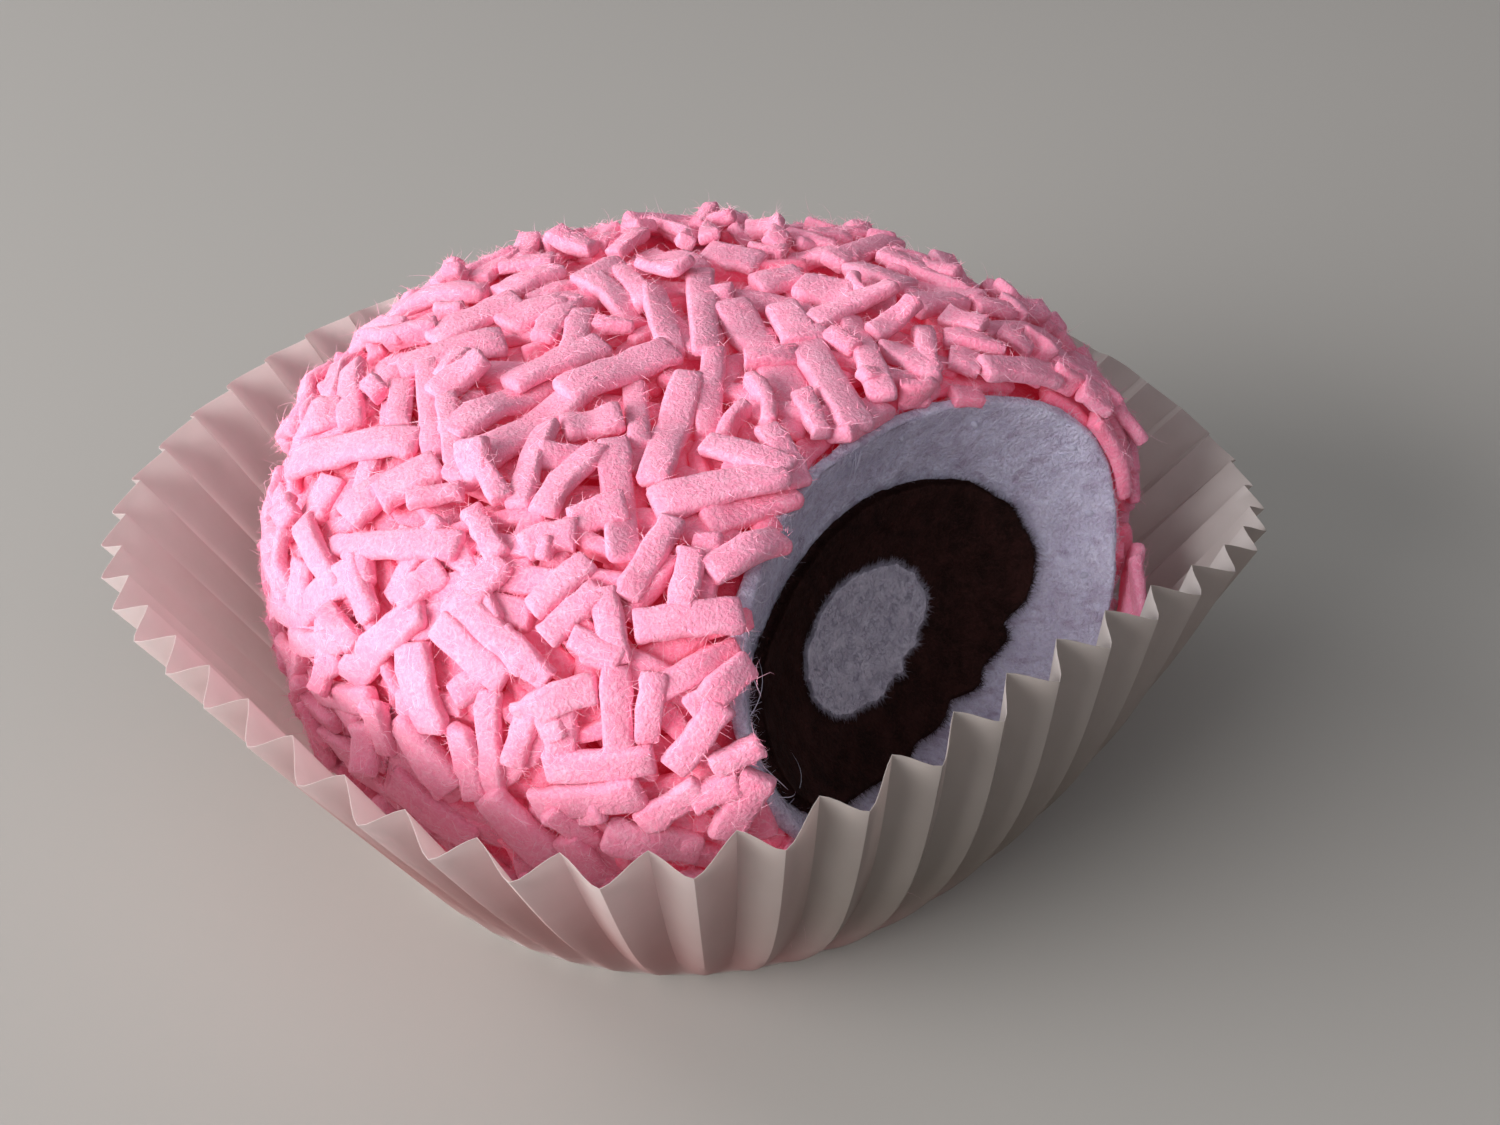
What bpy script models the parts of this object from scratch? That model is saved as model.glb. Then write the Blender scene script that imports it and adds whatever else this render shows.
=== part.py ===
"""Felt toy snack cake with a bite out of it, standing in its pleated paper cup.

The cake is a domed felt body covered with short strips of pink felt.  The
bite, a bowl in its front right side, is lined with white felt.  On the lining
lie a brown felt layer with a toothed lower edge and a pale felt middle.  The
cup is a standard baking cup, pushed out of round by the cake.

Units are metres and +Z is up.  The origin is the middle of the cup's
underside.  The front, with the bite to the right of it, faces -Y.
"""

import math
import random

import bmesh
import bpy
from mathutils import Matrix, Vector

# --- Paper cup: 2 inch base, 1 1/4 inch wall, both as cut --------------------
CUP_BASE_RADIUS = 0.0254
CUP_WALL_LENGTH = 0.03175
PAPER_THICKNESS = 0.0005
PLEATS = 48
PLEAT_SHARPNESS = 0.93  # share of a perfect zigzag's depth that soft creases keep
FIRST_RIDGE_DEG = 184.63  # direction of one outer ridge at the base
WALL_STEPS = (0.2, 0.55, 1.0)  # rows up the wall, as shares of its length

# How the cake pushes the wall about: cosine and sine parts, in degrees, of the
# waves that run once, twice, three and four times round the cup.
LEAN_MEAN_DEG = 55.9  # slope of the wall, from level
LEAN_WAVES_DEG = ((-1.6, -6.3), (-0.7, -5.0), (-0.5, -1.7), (-3.8, 0.1))
TWIST_WAVES_DEG = ((-2.5, -0.1), (1.5, -6.3), (2.7, -0.8))
BELLY_DEPTH = 0.0032  # bulge where the cake presses on the wall, below the bite
BELLY_DIRECTION_DEG = -50.0
BELLY_FOCUS = 3  # higher is narrower

# --- Cake ---------------------------------------------------------------------
CAKE_CENTRE_X = 0.00215
CAKE_CENTRE_Y = 0.0005
CAKE_RADIUS = 0.0341  # over the felt strips
CAKE_TOP = 0.0404  # over the felt strips
CAKE_WIDEST_HEIGHT = 0.021
CAKE_SQUARENESS = 3.08  # power of the upper profile: 2 is round, more is squarer
UNDERSIDE_DEPTH = 0.024  # the underside's half ellipse, cut flat by the base
GAP = 0.0003  # clearance between pieces that touch
COAT_DEPTH = 0.0016  # how far the outer strips stand over the body
BODY_SEGMENTS = 36
BODY_RINGS = 18

# --- Felt strips ----------------------------------------------------------------
STRIP_COUNT = 256
STRIP_SEED = 11
STRIP_WIDTH = (0.0024, 0.0031)
STRIP_LENGTH = (0.0076, 0.0122)
STRIP_THICKNESS = 0.0021  # a bar's height, of which the lower part sinks into the body
STRIP_BEND_DEG = 16.0  # greatest sideways bend at mid length
STRAIGHT_BELOW_DEG = 9.0  # strips that bend less than this are straight
STRIP_TILT_DEG = 7.0  # greatest rock out of the surface
STRIP_LIFT = (-0.0007, 0.0002)  # how far a strip stands over the outer face
STRIP_BITE_MARGIN = 0.0004  # strips seated nearer the bite than this are left out
STRIP_NUDGES = 3  # times a strip may sink by a gap to clear the paper
STRIP_LOWEST = 0.0080  # the coat's lower limit, down inside the cup
COAT_BANDS = 160  # bands that the coat's area is summed over
COAT_TOP_DEG = 89.5  # turn at which the coat ends, just short of the pole
GOLDEN_ANGLE = math.pi * (3.0 - math.sqrt(5.0))

# --- Bite: part of an ellipsoid, and the felt that lines it ---------------------
BITE_AZIMUTH_DEG = -42.0
BITE_ELEVATION_DEG = 15.0
BITE_DISTANCE = 0.034  # from the middle of the cake to the middle of the bite
BITE_WIDTH_RADIUS = 0.0243
BITE_HEIGHT_RADIUS = 0.0193
BITE_DEPTH_RADIUS = 0.019
BITE_ROLL_DEG = -2.0
FELT_THICKNESS = 0.0012  # the lining
LAYER_THICKNESS = 0.0008  # the brown and the pale layer
LINING_REACH = 0.0019  # the lining ends this far inside the coat's outer face

# Layers in the bite, as ellipses seen along the bite's axis: centre across and
# up, half width and half height, and roll.
BROWN_CENTRE = (-0.0017, -0.0027)
BROWN_HALF_SIZE = (0.0175, 0.0096)
BROWN_ROLL_DEG = 3.0
PALE_CENTRE = (-0.0022, -0.0031)
PALE_HALF_SIZE = (0.0078, 0.0048)
PALE_ROLL_DEG = 8.0
TOOTH_COUNT = 5  # steps along a layer's lower right edge
TOOTH_DEPTH = 0.0009
TOOTH_START_DEG = -88.0
TOOTH_END_DEG = -14.0
OUTLINE_POINTS = 48
BITE_SEGMENTS = 32

CAKE_CENTRE = Vector((CAKE_CENTRE_X, CAKE_CENTRE_Y, CAKE_WIDEST_HEIGHT))
CAKE_FLOOR = PAPER_THICKNESS + GAP


# --- Materials and objects --------------------------------------------------------
def make_material(name, colour, roughness):
    """Return a matt Principled material."""
    material = bpy.data.materials.new(name)
    material.use_nodes = True
    shader = material.node_tree.nodes["Principled BSDF"]
    shader.inputs["Base Color"].default_value = (*colour, 1.0)
    shader.inputs["Roughness"].default_value = roughness
    shader.inputs["Metallic"].default_value = 0.0
    material.diffuse_color = (*colour, 1.0)
    return material


def make_object(name, mesh_builder, material=None):
    """Link a new object for a bmesh and free the bmesh."""
    mesh = bpy.data.meshes.new(name)
    mesh_builder.to_mesh(mesh)
    mesh_builder.free()
    piece = bpy.data.objects.new(name, mesh)
    bpy.context.scene.collection.objects.link(piece)
    if material:
        mesh.materials.append(material)
    return piece


def make_cutter(name, mesh_builder):
    """Link a hidden wire object that only serves a Boolean."""
    cutter = make_object(name, mesh_builder)
    cutter.hide_render = True
    cutter.display_type = "WIRE"
    return cutter


def add_boolean(piece, operation, cutter):
    """Add a Boolean modifier that uses one cutter."""
    modifier = piece.modifiers.new(f"{operation.lower()}_{cutter.name}", "BOOLEAN")
    modifier.operation = operation
    modifier.object = cutter
    return modifier


def wave(angle, waves_deg):
    """Sum cosine and sine waves round the cup, in radians."""
    total = 0.0
    for turns, (cosine, sine) in enumerate(waves_deg, start=1):
        total += cosine * math.cos(turns * angle) + sine * math.sin(turns * angle)
    return math.radians(total)


# --- Paper cup ----------------------------------------------------------------------
def cup_wall_point(angle, share, side):
    """Return a point of the wall: side is +1 on an outer ridge, -1 in a valley.

    The pleats take up the paper's spare length, so their depth follows from
    the flat sheet's radius and the radius that the wall is folded to.
    """
    lean = math.radians(LEAN_MEAN_DEG) + wave(angle, LEAN_WAVES_DEG)
    along = CUP_WALL_LENGTH * share
    flat_radius = CUP_BASE_RADIUS + along
    radius = CUP_BASE_RADIUS + along * math.cos(lean)
    depth = math.pi / PLEATS * math.sqrt(flat_radius**2 - radius**2)
    offset = side * 0.5 * PLEAT_SHARPNESS * depth
    facing = max(0.0, math.cos(angle - math.radians(BELLY_DIRECTION_DEG)))
    offset += BELLY_DEPTH * facing**BELLY_FOCUS * math.sin(math.pi * share)
    radius += offset * math.sin(lean)
    height = along * math.sin(lean) - offset * math.cos(lean)
    azimuth = angle + share * wave(angle, TWIST_WAVES_DEG)
    return Vector((radius * math.cos(azimuth), radius * math.sin(azimuth), height))


def make_paper_cup(material):
    """Fold the cup: a flat disc, extruded up row by row into the pleated wall."""
    folds = 2 * PLEATS
    angles = [math.radians(FIRST_RIDGE_DEG) + math.tau * k / folds for k in range(folds)]
    sheet = bmesh.new()
    bmesh.ops.create_circle(sheet, cap_ends=True, segments=folds, radius=CUP_BASE_RADIUS)
    fold = sheet.verts.layers.int.new("fold")
    for k, vertex in enumerate(sheet.verts):
        vertex[fold] = k
        vertex.co = Vector((math.cos(angles[k]), math.sin(angles[k]), 0.0)) * CUP_BASE_RADIUS
    edges = [edge for edge in sheet.edges if edge.is_boundary]
    bmesh.ops.poke(sheet, faces=sheet.faces[:])
    for share in WALL_STEPS:
        row = bmesh.ops.extrude_edge_only(sheet, edges=edges)["geom"]
        edges = [item for item in row if isinstance(item, bmesh.types.BMEdge)]
        for vertex in (item for item in row if isinstance(item, bmesh.types.BMVert)):
            side = 1 if vertex[fold] % 2 == 0 else -1
            vertex.co = cup_wall_point(angles[vertex[fold]], share, side)
    bmesh.ops.recalc_face_normals(sheet, faces=sheet.faces[:])
    cup = make_object("paper_cup", sheet, material)
    wall = cup.modifiers.new("paper", "SOLIDIFY")
    wall.thickness = PAPER_THICKNESS
    wall.use_even_offset = True
    return cup


# --- Cake body ----------------------------------------------------------------------
def profile_point(turn, inset):
    """Return radius and height on the cake's profile.

    turn runs from -90 degrees, the underside's lowest point, over 0, the
    widest height, to 90 degrees, the top.
    """
    power = 2.0 / CAKE_SQUARENESS if turn > 0.0 else 1.0
    radius = (CAKE_RADIUS - inset) * math.cos(turn) ** power
    if turn > 0.0:
        rise = (CAKE_TOP - CAKE_WIDEST_HEIGHT - inset) * math.sin(turn) ** power
    else:
        rise = (UNDERSIDE_DEPTH - inset) * math.sin(turn)
    return radius, CAKE_WIDEST_HEIGHT + rise


def make_dome(inset):
    """Return a bmesh of the cake's outer form, set in by inset, with a flat base."""
    dome = bmesh.new()
    bmesh.ops.create_uvsphere(dome, u_segments=BODY_SEGMENTS, v_segments=BODY_RINGS, radius=1.0)
    for vertex in dome.verts:
        turn = math.asin(max(-1.0, min(1.0, vertex.co.z)))
        azimuth = math.atan2(vertex.co.y, vertex.co.x)
        radius, height = profile_point(turn, inset)
        vertex.co = Vector((radius * math.cos(azimuth), radius * math.sin(azimuth), height))
        vertex.co += Vector((CAKE_CENTRE_X, CAKE_CENTRE_Y, 0.0))
    cut = bmesh.ops.bisect_plane(
        dome,
        geom=dome.verts[:] + dome.edges[:] + dome.faces[:],
        plane_co=(0.0, 0.0, CAKE_FLOOR),
        plane_no=(0.0, 0.0, -1.0),
        clear_outer=True,
    )
    rim = [item for item in cut["geom_cut"] if isinstance(item, bmesh.types.BMEdge)]
    bmesh.ops.contextual_create(dome, geom=rim)
    bmesh.ops.recalc_face_normals(dome, faces=dome.faces[:])
    return dome


# --- Bite ---------------------------------------------------------------------------
def bite_frame():
    """Return the bite's middle and its across, up and outward directions."""
    azimuth = math.radians(BITE_AZIMUTH_DEG)
    elevation = math.radians(BITE_ELEVATION_DEG)
    outward = Vector(
        (
            math.cos(elevation) * math.cos(azimuth),
            math.cos(elevation) * math.sin(azimuth),
            math.sin(elevation),
        )
    )
    across = Vector((0.0, 0.0, 1.0)).cross(outward).normalized()
    up = outward.cross(across)
    roll = Matrix.Rotation(math.radians(BITE_ROLL_DEG), 3, outward)
    return CAKE_CENTRE + outward * BITE_DISTANCE, roll @ across, roll @ up, outward


def bite_matrix():
    """Return the transform from the bite's own axes to the cake's."""
    middle, across, up, outward = bite_frame()
    matrix = Matrix((across, up, outward)).transposed().to_4x4()
    matrix.translation = middle
    return matrix


def make_bite_ball(grow):
    """Return the bite's ellipsoid as a bmesh, its radii grown by grow."""
    ball = bmesh.new()
    bmesh.ops.create_uvsphere(ball, u_segments=BITE_SEGMENTS, v_segments=BITE_SEGMENTS // 2, radius=1.0)
    radii = Vector(
        (BITE_WIDTH_RADIUS + grow, BITE_HEIGHT_RADIUS + grow, BITE_DEPTH_RADIUS + grow)
    )
    scale = Matrix.Diagonal(radii).to_4x4()
    bmesh.ops.transform(ball, matrix=bite_matrix() @ scale, verts=ball.verts[:])
    return ball


def inside_bite(point, grow):
    """Tell whether a point lies in the bite's ellipsoid, grown by grow."""
    local = bite_matrix().inverted() @ point
    across = local.x / (BITE_WIDTH_RADIUS + grow)
    up = local.y / (BITE_HEIGHT_RADIUS + grow)
    out = local.z / (BITE_DEPTH_RADIUS + grow)
    return across**2 + up**2 + out**2 < 1.0


def layer_outline(centre, half_size, roll_deg, tooth_depth):
    """Return a layer's outline across and up the bite: an ellipse with bitten steps."""
    points = []
    roll = Matrix.Rotation(math.radians(roll_deg), 2)
    start, end = math.radians(TOOTH_START_DEG), math.radians(TOOTH_END_DEG)
    for k in range(OUTLINE_POINTS):
        turn = math.tau * k / OUTLINE_POINTS - math.pi
        shrink = 0.0
        if start < turn < end:
            phase = (turn - start) / (end - start) * TOOTH_COUNT % 1.0
            shrink = tooth_depth * (1.0 - phase)
        across = (half_size[0] - shrink) * math.cos(turn)
        up = (half_size[1] - shrink) * math.sin(turn)
        points.append(roll @ Vector((across, up)) + Vector(centre))
    return points


def make_layer(name, outline, top, bottom, material):
    """Cut a felt layer: the part of the bite's bowl between two faces, in an outline."""
    reach = 1.5 * BITE_DEPTH_RADIUS  # well past the back of the bowl
    prism = bmesh.new()
    rim = [prism.verts.new((point.x, point.y, -reach)) for point in outline]
    floor = prism.faces.new(rim)
    walls = bmesh.ops.extrude_face_region(prism, geom=[floor])["geom"]
    lifted = [item for item in walls if isinstance(item, bmesh.types.BMVert)]
    bmesh.ops.translate(prism, verts=lifted, vec=(0.0, 0.0, reach))
    bmesh.ops.recalc_face_normals(prism, faces=prism.faces[:])
    bmesh.ops.transform(prism, matrix=bite_matrix(), verts=prism.verts[:])
    layer = make_object(name, prism, material)
    add_boolean(layer, "INTERSECT", make_cutter(f"{name}_back", make_bite_ball(-bottom)))
    add_boolean(layer, "DIFFERENCE", make_cutter(f"{name}_front", make_bite_ball(-top)))
    return layer


def make_lining(material):
    """Make the white bowl that lines the bite, out to the body's surface."""
    lining = make_object("white_lining", make_bite_ball(FELT_THICKNESS), material)
    dome = make_cutter("lining_edge", make_dome(LINING_REACH))
    add_boolean(lining, "INTERSECT", dome)
    add_boolean(lining, "DIFFERENCE", make_cutter("lining_front", make_bite_ball(0.0)))
    return lining


# --- Felt strips ----------------------------------------------------------------------
def surface_frame(azimuth, turn):
    """Return a point of the coat's outer face, with its outward and sideways directions."""
    radius, height = profile_point(turn, 0.0)
    step = math.radians(0.25)
    next_radius, next_height = profile_point(turn + step, 0.0)
    radial = Vector((math.cos(azimuth), math.sin(azimuth), 0.0))
    point = Vector((CAKE_CENTRE_X, CAKE_CENTRE_Y, height)) + radial * radius
    climb = radial * (next_radius - radius) + Vector((0.0, 0.0, next_height - height))
    around = Vector((0.0, 0.0, 1.0)).cross(radial)
    outward = around.cross(climb.normalized())
    return point, outward, around


def coat_bands():
    """Return the profile's turns with the running area below each, for even seating."""
    lowest = math.asin((STRIP_LOWEST - CAKE_WIDEST_HEIGHT) / UNDERSIDE_DEPTH)
    span = math.radians(COAT_TOP_DEG) - lowest
    turns = [lowest + span * k / COAT_BANDS for k in range(COAT_BANDS + 1)]
    areas = [0.0]
    for lower, upper in zip(turns, turns[1:]):
        r0, z0 = profile_point(lower, 0.0)
        r1, z1 = profile_point(upper, 0.0)
        areas.append(areas[-1] + 0.5 * (r0 + r1) * math.hypot(r1 - r0, z1 - z0))
    return turns, areas


def strip_seats():
    """Yield azimuth and turn for evenly spread strips, by the golden angle."""
    turns, areas = coat_bands()
    for k in range(STRIP_COUNT):
        azimuth = k * GOLDEN_ANGLE
        area = areas[-1] * (k + 0.5) / STRIP_COUNT
        band = next(i for i, total in enumerate(areas[1:], start=1) if total >= area)
        share = (area - areas[band - 1]) / (areas[band] - areas[band - 1])
        yield azimuth, turns[band - 1] + share * (turns[band] - turns[band - 1])


def make_strip(azimuth, turn, draw):
    """Return one felt strip as a bmesh: a flat bar in two lengths, bent sideways."""
    point, outward, around = surface_frame(azimuth, turn)
    heading = draw.uniform(0.0, math.pi)
    width = draw.uniform(*STRIP_WIDTH)
    length = draw.uniform(*STRIP_LENGTH)
    bend = math.radians(draw.uniform(-STRIP_BEND_DEG, STRIP_BEND_DEG))
    tilt = math.radians(draw.uniform(-STRIP_TILT_DEG, STRIP_TILT_DEG))
    lift = draw.uniform(*STRIP_LIFT)
    bar = bmesh.new()
    bmesh.ops.create_cube(bar, size=1.0)
    scale = Matrix.Diagonal((length, width, STRIP_THICKNESS, 1.0))
    bmesh.ops.transform(bar, matrix=scale, verts=bar.verts[:])
    lengthwise = [edge for edge in bar.edges if abs((edge.verts[0].co - edge.verts[1].co).x) > GAP]
    if abs(bend) > math.radians(STRAIGHT_BELOW_DEG):
        bmesh.ops.subdivide_edges(bar, edges=lengthwise, cuts=1)
        sag = length**2 / 8.0 / CAKE_RADIUS
        for vertex in bar.verts:
            vertex.co.y += math.tan(bend) * abs(vertex.co.x)
            vertex.co.z -= sag * abs(vertex.co.x) / (0.5 * length)
    side = outward.cross(around)
    axes = Matrix((around, side, outward)).transposed().to_4x4()
    turnabout = Matrix.Rotation(heading, 4, "Z") @ Matrix.Rotation(tilt, 4, "Y")
    seat = Matrix.Translation(point + outward * (lift - 0.5 * STRIP_THICKNESS))
    bmesh.ops.transform(bar, matrix=seat @ axes @ turnabout, verts=bar.verts[:])
    return bar


def wall_limit(point):
    """Return how far out a point may lie at its height before it meets the paper."""
    azimuth = math.atan2(point.y, point.x)
    angle = azimuth
    for _ in range(3):  # follows the wall's twist back down to the base
        rim = cup_wall_point(angle, 1.0, -1)
        share = min(1.0, max(0.0, point.z / rim.z))
        angle = azimuth - share * wave(angle, TWIST_WAVES_DEG)
    valley = cup_wall_point(angle, share, -1)
    return math.hypot(valley.x, valley.y) - PAPER_THICKNESS - 2.0 * GAP


def strip_clears_cup(bar):
    """Tell whether a strip stays inside the cup's folded wall."""
    for vertex in bar.verts:
        if vertex.co.z < CAKE_FLOOR + GAP:
            return False
        if vertex.co.z < CUP_WALL_LENGTH and math.hypot(vertex.co.x, vertex.co.y) > wall_limit(vertex.co):
            return False
    return True


def keep_largest_shell(mesh):
    """Drop loose scraps and fill sealed hollows: keep only the largest shell."""
    shells = bmesh.new()
    shells.from_mesh(mesh)
    unseen = set(shells.verts)
    groups = []
    while unseen:
        front = [unseen.pop()]
        group = set(front)
        while front:
            vertex = front.pop()
            for edge in vertex.link_edges:
                other = edge.other_vert(vertex)
                if other in unseen:
                    unseen.remove(other)
                    group.add(other)
                    front.append(other)
        groups.append(group)
    groups.sort(key=len)
    scraps = [vertex for group in groups[:-1] for vertex in group]
    bmesh.ops.delete(shells, geom=scraps, context="VERTS")
    shells.to_mesh(mesh)
    shells.free()


def make_pink_cake(material):
    """Fuse the strips to the body, then take the bite out of both."""
    draw = random.Random(STRIP_SEED)
    strips = bpy.data.collections.new("strips")
    bpy.context.scene.collection.children.link(strips)
    for number, (azimuth, turn) in enumerate(strip_seats()):
        bar = make_strip(azimuth, turn, draw)
        seat, outward, _ = surface_frame(azimuth, turn)
        for _ in range(STRIP_NUDGES):
            if strip_clears_cup(bar):
                break
            bmesh.ops.translate(bar, verts=bar.verts[:], vec=-outward * GAP)
        if inside_bite(seat, FELT_THICKNESS + STRIP_BITE_MARGIN) or not strip_clears_cup(bar):
            bar.free()
            continue
        strip = make_object(f"strip_{number:03d}", bar)
        bpy.context.scene.collection.objects.unlink(strip)
        strips.objects.link(strip)

    cake = make_object("pink_cake", make_dome(COAT_DEPTH), material)
    fuse = cake.modifiers.new("fuse_strips", "BOOLEAN")
    fuse.operation = "UNION"
    fuse.operand_type = "COLLECTION"
    fuse.collection = strips
    fuse.solver = "MANIFOLD"
    bite = make_cutter("bite", make_bite_ball(FELT_THICKNESS + GAP))
    cut = add_boolean(cake, "DIFFERENCE", bite)
    cut.solver = "MANIFOLD"

    graph = bpy.context.evaluated_depsgraph_get()
    fused = bpy.data.meshes.new_from_object(cake.evaluated_get(graph), depsgraph=graph)
    cake.modifiers.clear()
    cake.data = fused
    keep_largest_shell(fused)
    for leftover in [*strips.objects, bite]:
        bpy.data.objects.remove(leftover)
    bpy.data.collections.remove(strips)
    return cake


def main():
    """Build every piece."""
    for old in list(bpy.data.objects):
        bpy.data.objects.remove(old)

    paper = make_material("white_paper", (0.86, 0.80, 0.79), 0.75)
    pink = make_material("pink_felt", (0.95, 0.32, 0.47), 0.95)
    white = make_material("white_felt", (0.62, 0.58, 0.70), 0.95)
    brown = make_material("brown_felt", (0.020, 0.008, 0.009), 0.95)

    make_paper_cup(paper)
    make_pink_cake(pink)
    make_lining(white)
    layer_back = GAP
    layer_front = GAP + LAYER_THICKNESS
    brown_outline = layer_outline(BROWN_CENTRE, BROWN_HALF_SIZE, BROWN_ROLL_DEG, TOOTH_DEPTH)
    make_layer("brown_layer", brown_outline, layer_front, layer_back, brown)
    pale_outline = layer_outline(PALE_CENTRE, PALE_HALF_SIZE, PALE_ROLL_DEG, 0.5 * TOOTH_DEPTH)
    make_layer("pale_middle", pale_outline, 2.0 * layer_front, layer_front + layer_back, white)


main()
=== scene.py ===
"""Looks of a felt toy snack cake with a bite out of it, in its pleated paper cup.

Every length is in metres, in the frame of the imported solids: +Z is up, the
origin is the middle of the cup's underside, and the front faces -Y.
"""

import logging
import math
import random
from dataclasses import dataclass, field
from enum import Enum
from functools import lru_cache

import bmesh
import bpy
import numpy as np
from mathutils import Matrix, Vector, noise


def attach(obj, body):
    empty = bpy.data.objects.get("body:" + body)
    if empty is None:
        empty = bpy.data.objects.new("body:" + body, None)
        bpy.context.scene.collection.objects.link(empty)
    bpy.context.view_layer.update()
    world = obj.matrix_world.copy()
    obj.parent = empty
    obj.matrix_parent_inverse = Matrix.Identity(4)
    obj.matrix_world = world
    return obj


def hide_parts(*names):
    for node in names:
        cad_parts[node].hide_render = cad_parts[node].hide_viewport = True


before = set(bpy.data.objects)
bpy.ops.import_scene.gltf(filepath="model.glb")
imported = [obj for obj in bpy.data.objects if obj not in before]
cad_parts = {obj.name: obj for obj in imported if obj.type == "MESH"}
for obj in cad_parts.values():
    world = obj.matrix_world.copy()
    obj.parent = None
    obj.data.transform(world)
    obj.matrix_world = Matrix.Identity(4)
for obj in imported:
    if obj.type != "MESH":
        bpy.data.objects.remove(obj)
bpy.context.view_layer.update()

LOG = logging.getLogger("snack_cake")
MM = 0.001
# Seeds the shifts inside Blender's vector noise, which otherwise follow the clock.
NOISE_SEED = 7
Piece = bpy.types.Object
Point = tuple[float, float, float]
Colour = tuple[float, float, float]
# Size of the finer unevenness on felt, as a share of the coarser.
FINER = 0.4
# Height and size of the lumps in a cut strip's surface.
LUMP_HEIGHT = 0.20 * MM
LUMP_SIZE = 1.4 * MM


# --- Mesh helpers ---
def finished_object(name: str, builder: bmesh.types.BMesh, material: bpy.types.Material) -> Piece:
    """Link a smooth-shaded object for a bmesh and free the bmesh.

    Args:
        name: the piece's name.
        builder: the mesh, already in place.
        material: the piece's finish.

    Returns:
        The new object, at the origin.
    """
    mesh = bpy.data.meshes.new(name)
    builder.to_mesh(mesh)
    builder.free()
    mesh.materials.append(material)
    mesh.shade_smooth()
    piece = bpy.data.objects.new(name, mesh)
    bpy.context.scene.collection.objects.link(piece)
    return piece


def apply_modifiers(piece: Piece) -> None:
    """Replace a piece's mesh by what its modifiers make of it.

    Args:
        piece: the object, whose modifiers are then removed.
    """
    graph = bpy.context.evaluated_depsgraph_get()
    graph.update()
    made = bpy.data.meshes.new_from_object(piece.evaluated_get(graph), depsgraph=graph)
    made.name = piece.name
    piece.modifiers.clear()
    piece.data = made


def thicken(piece: Piece, thickness: float, rounding: float, segments: int = 3) -> None:
    """Give a sheet its thickness behind its face and round its cut edge.

    Args:
        piece: the sheet, with its faces pointing out of the felt.
        thickness: of the felt or paper.
        rounding: radius of the cut edge.
        segments: steps in the rounding.
    """
    shell = piece.modifiers.new("thickness", "SOLIDIFY")
    shell.thickness = thickness
    shell.use_even_offset = True
    if rounding > 0.0:
        edge = piece.modifiers.new("soft_edge", "BEVEL")
        edge.width = rounding
        edge.segments = segments
        edge.limit_method = "ANGLE"
        edge.angle_limit = math.radians(50.0)
    apply_modifiers(piece)


def roughen(piece: Piece, height: float, grain: float, seed: float = 0.0) -> None:
    """Push a piece's points in and out along their normals, as uneven felt is.

    Args:
        piece: a finished mesh.
        height: greatest push, either way.
        grain: size of the unevenness; half as strong a push is added at FINER times it.
        seed: moves the pattern.
    """
    shift = Vector((seed, -seed, 0.5 * seed))
    points = vertex_array(piece.data)
    normals = np.empty(points.size)
    piece.data.vertex_normals.foreach_get("vector", normals)
    coarse = [noise.noise(Vector(point) / grain + shift) for point in points]
    fine = [noise.noise(Vector(point) / (FINER * grain) + shift) for point in points]
    push = height * (np.array(coarse) + 0.5 * np.array(fine))
    points += normals.reshape(-1, 3) * push[:, None]
    piece.data.vertices.foreach_set("co", points.ravel())
    piece.data.update()


def copies(template: bpy.types.Mesh, count: int, name: str) -> Piece:
    """Link one object that holds a template mesh many times over.

    Args:
        template: the mesh to repeat.
        count: how many copies.
        name: the object's name.

    Returns:
        The object, whose vertices run copy by copy.
    """
    piece = bpy.data.objects.new(name, template.copy())
    bpy.context.scene.collection.objects.link(piece)
    array = piece.modifiers.new("copies", "ARRAY")
    array.count = count
    array.use_relative_offset = False
    array.use_constant_offset = False
    apply_modifiers(piece)
    return piece


def vertex_array(mesh: bpy.types.Mesh) -> np.ndarray:
    """Read a mesh's points.

    Args:
        mesh: the mesh.

    Returns:
        One row for each vertex.
    """
    flat = np.empty(3 * len(mesh.vertices))
    mesh.vertices.foreach_get("co", flat)
    return flat.reshape(-1, 3)


def set_attribute(mesh: bpy.types.Mesh, name: str, values: np.ndarray) -> None:
    """Store one number for each vertex, for a finish to read.

    Args:
        mesh: the piece's mesh.
        name: the attribute's name.
        values: one number for each vertex.
    """
    attribute = mesh.attributes.new(name, "FLOAT", "POINT")
    attribute.data.foreach_set("value", np.asarray(values, np.float32).ravel())


def unit(vectors: np.ndarray) -> np.ndarray:
    """Return vectors scaled to length one."""
    return vectors / np.maximum(np.linalg.norm(vectors, axis=-1, keepdims=True), 1e-9)


# --- Finishes ---
Socket = bpy.types.NodeSocket
# Places of the colours among a Mix node's sockets.
FIRST_COLOUR, SECOND_COLOUR, MIXED_COLOUR = 6, 7, 2


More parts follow.
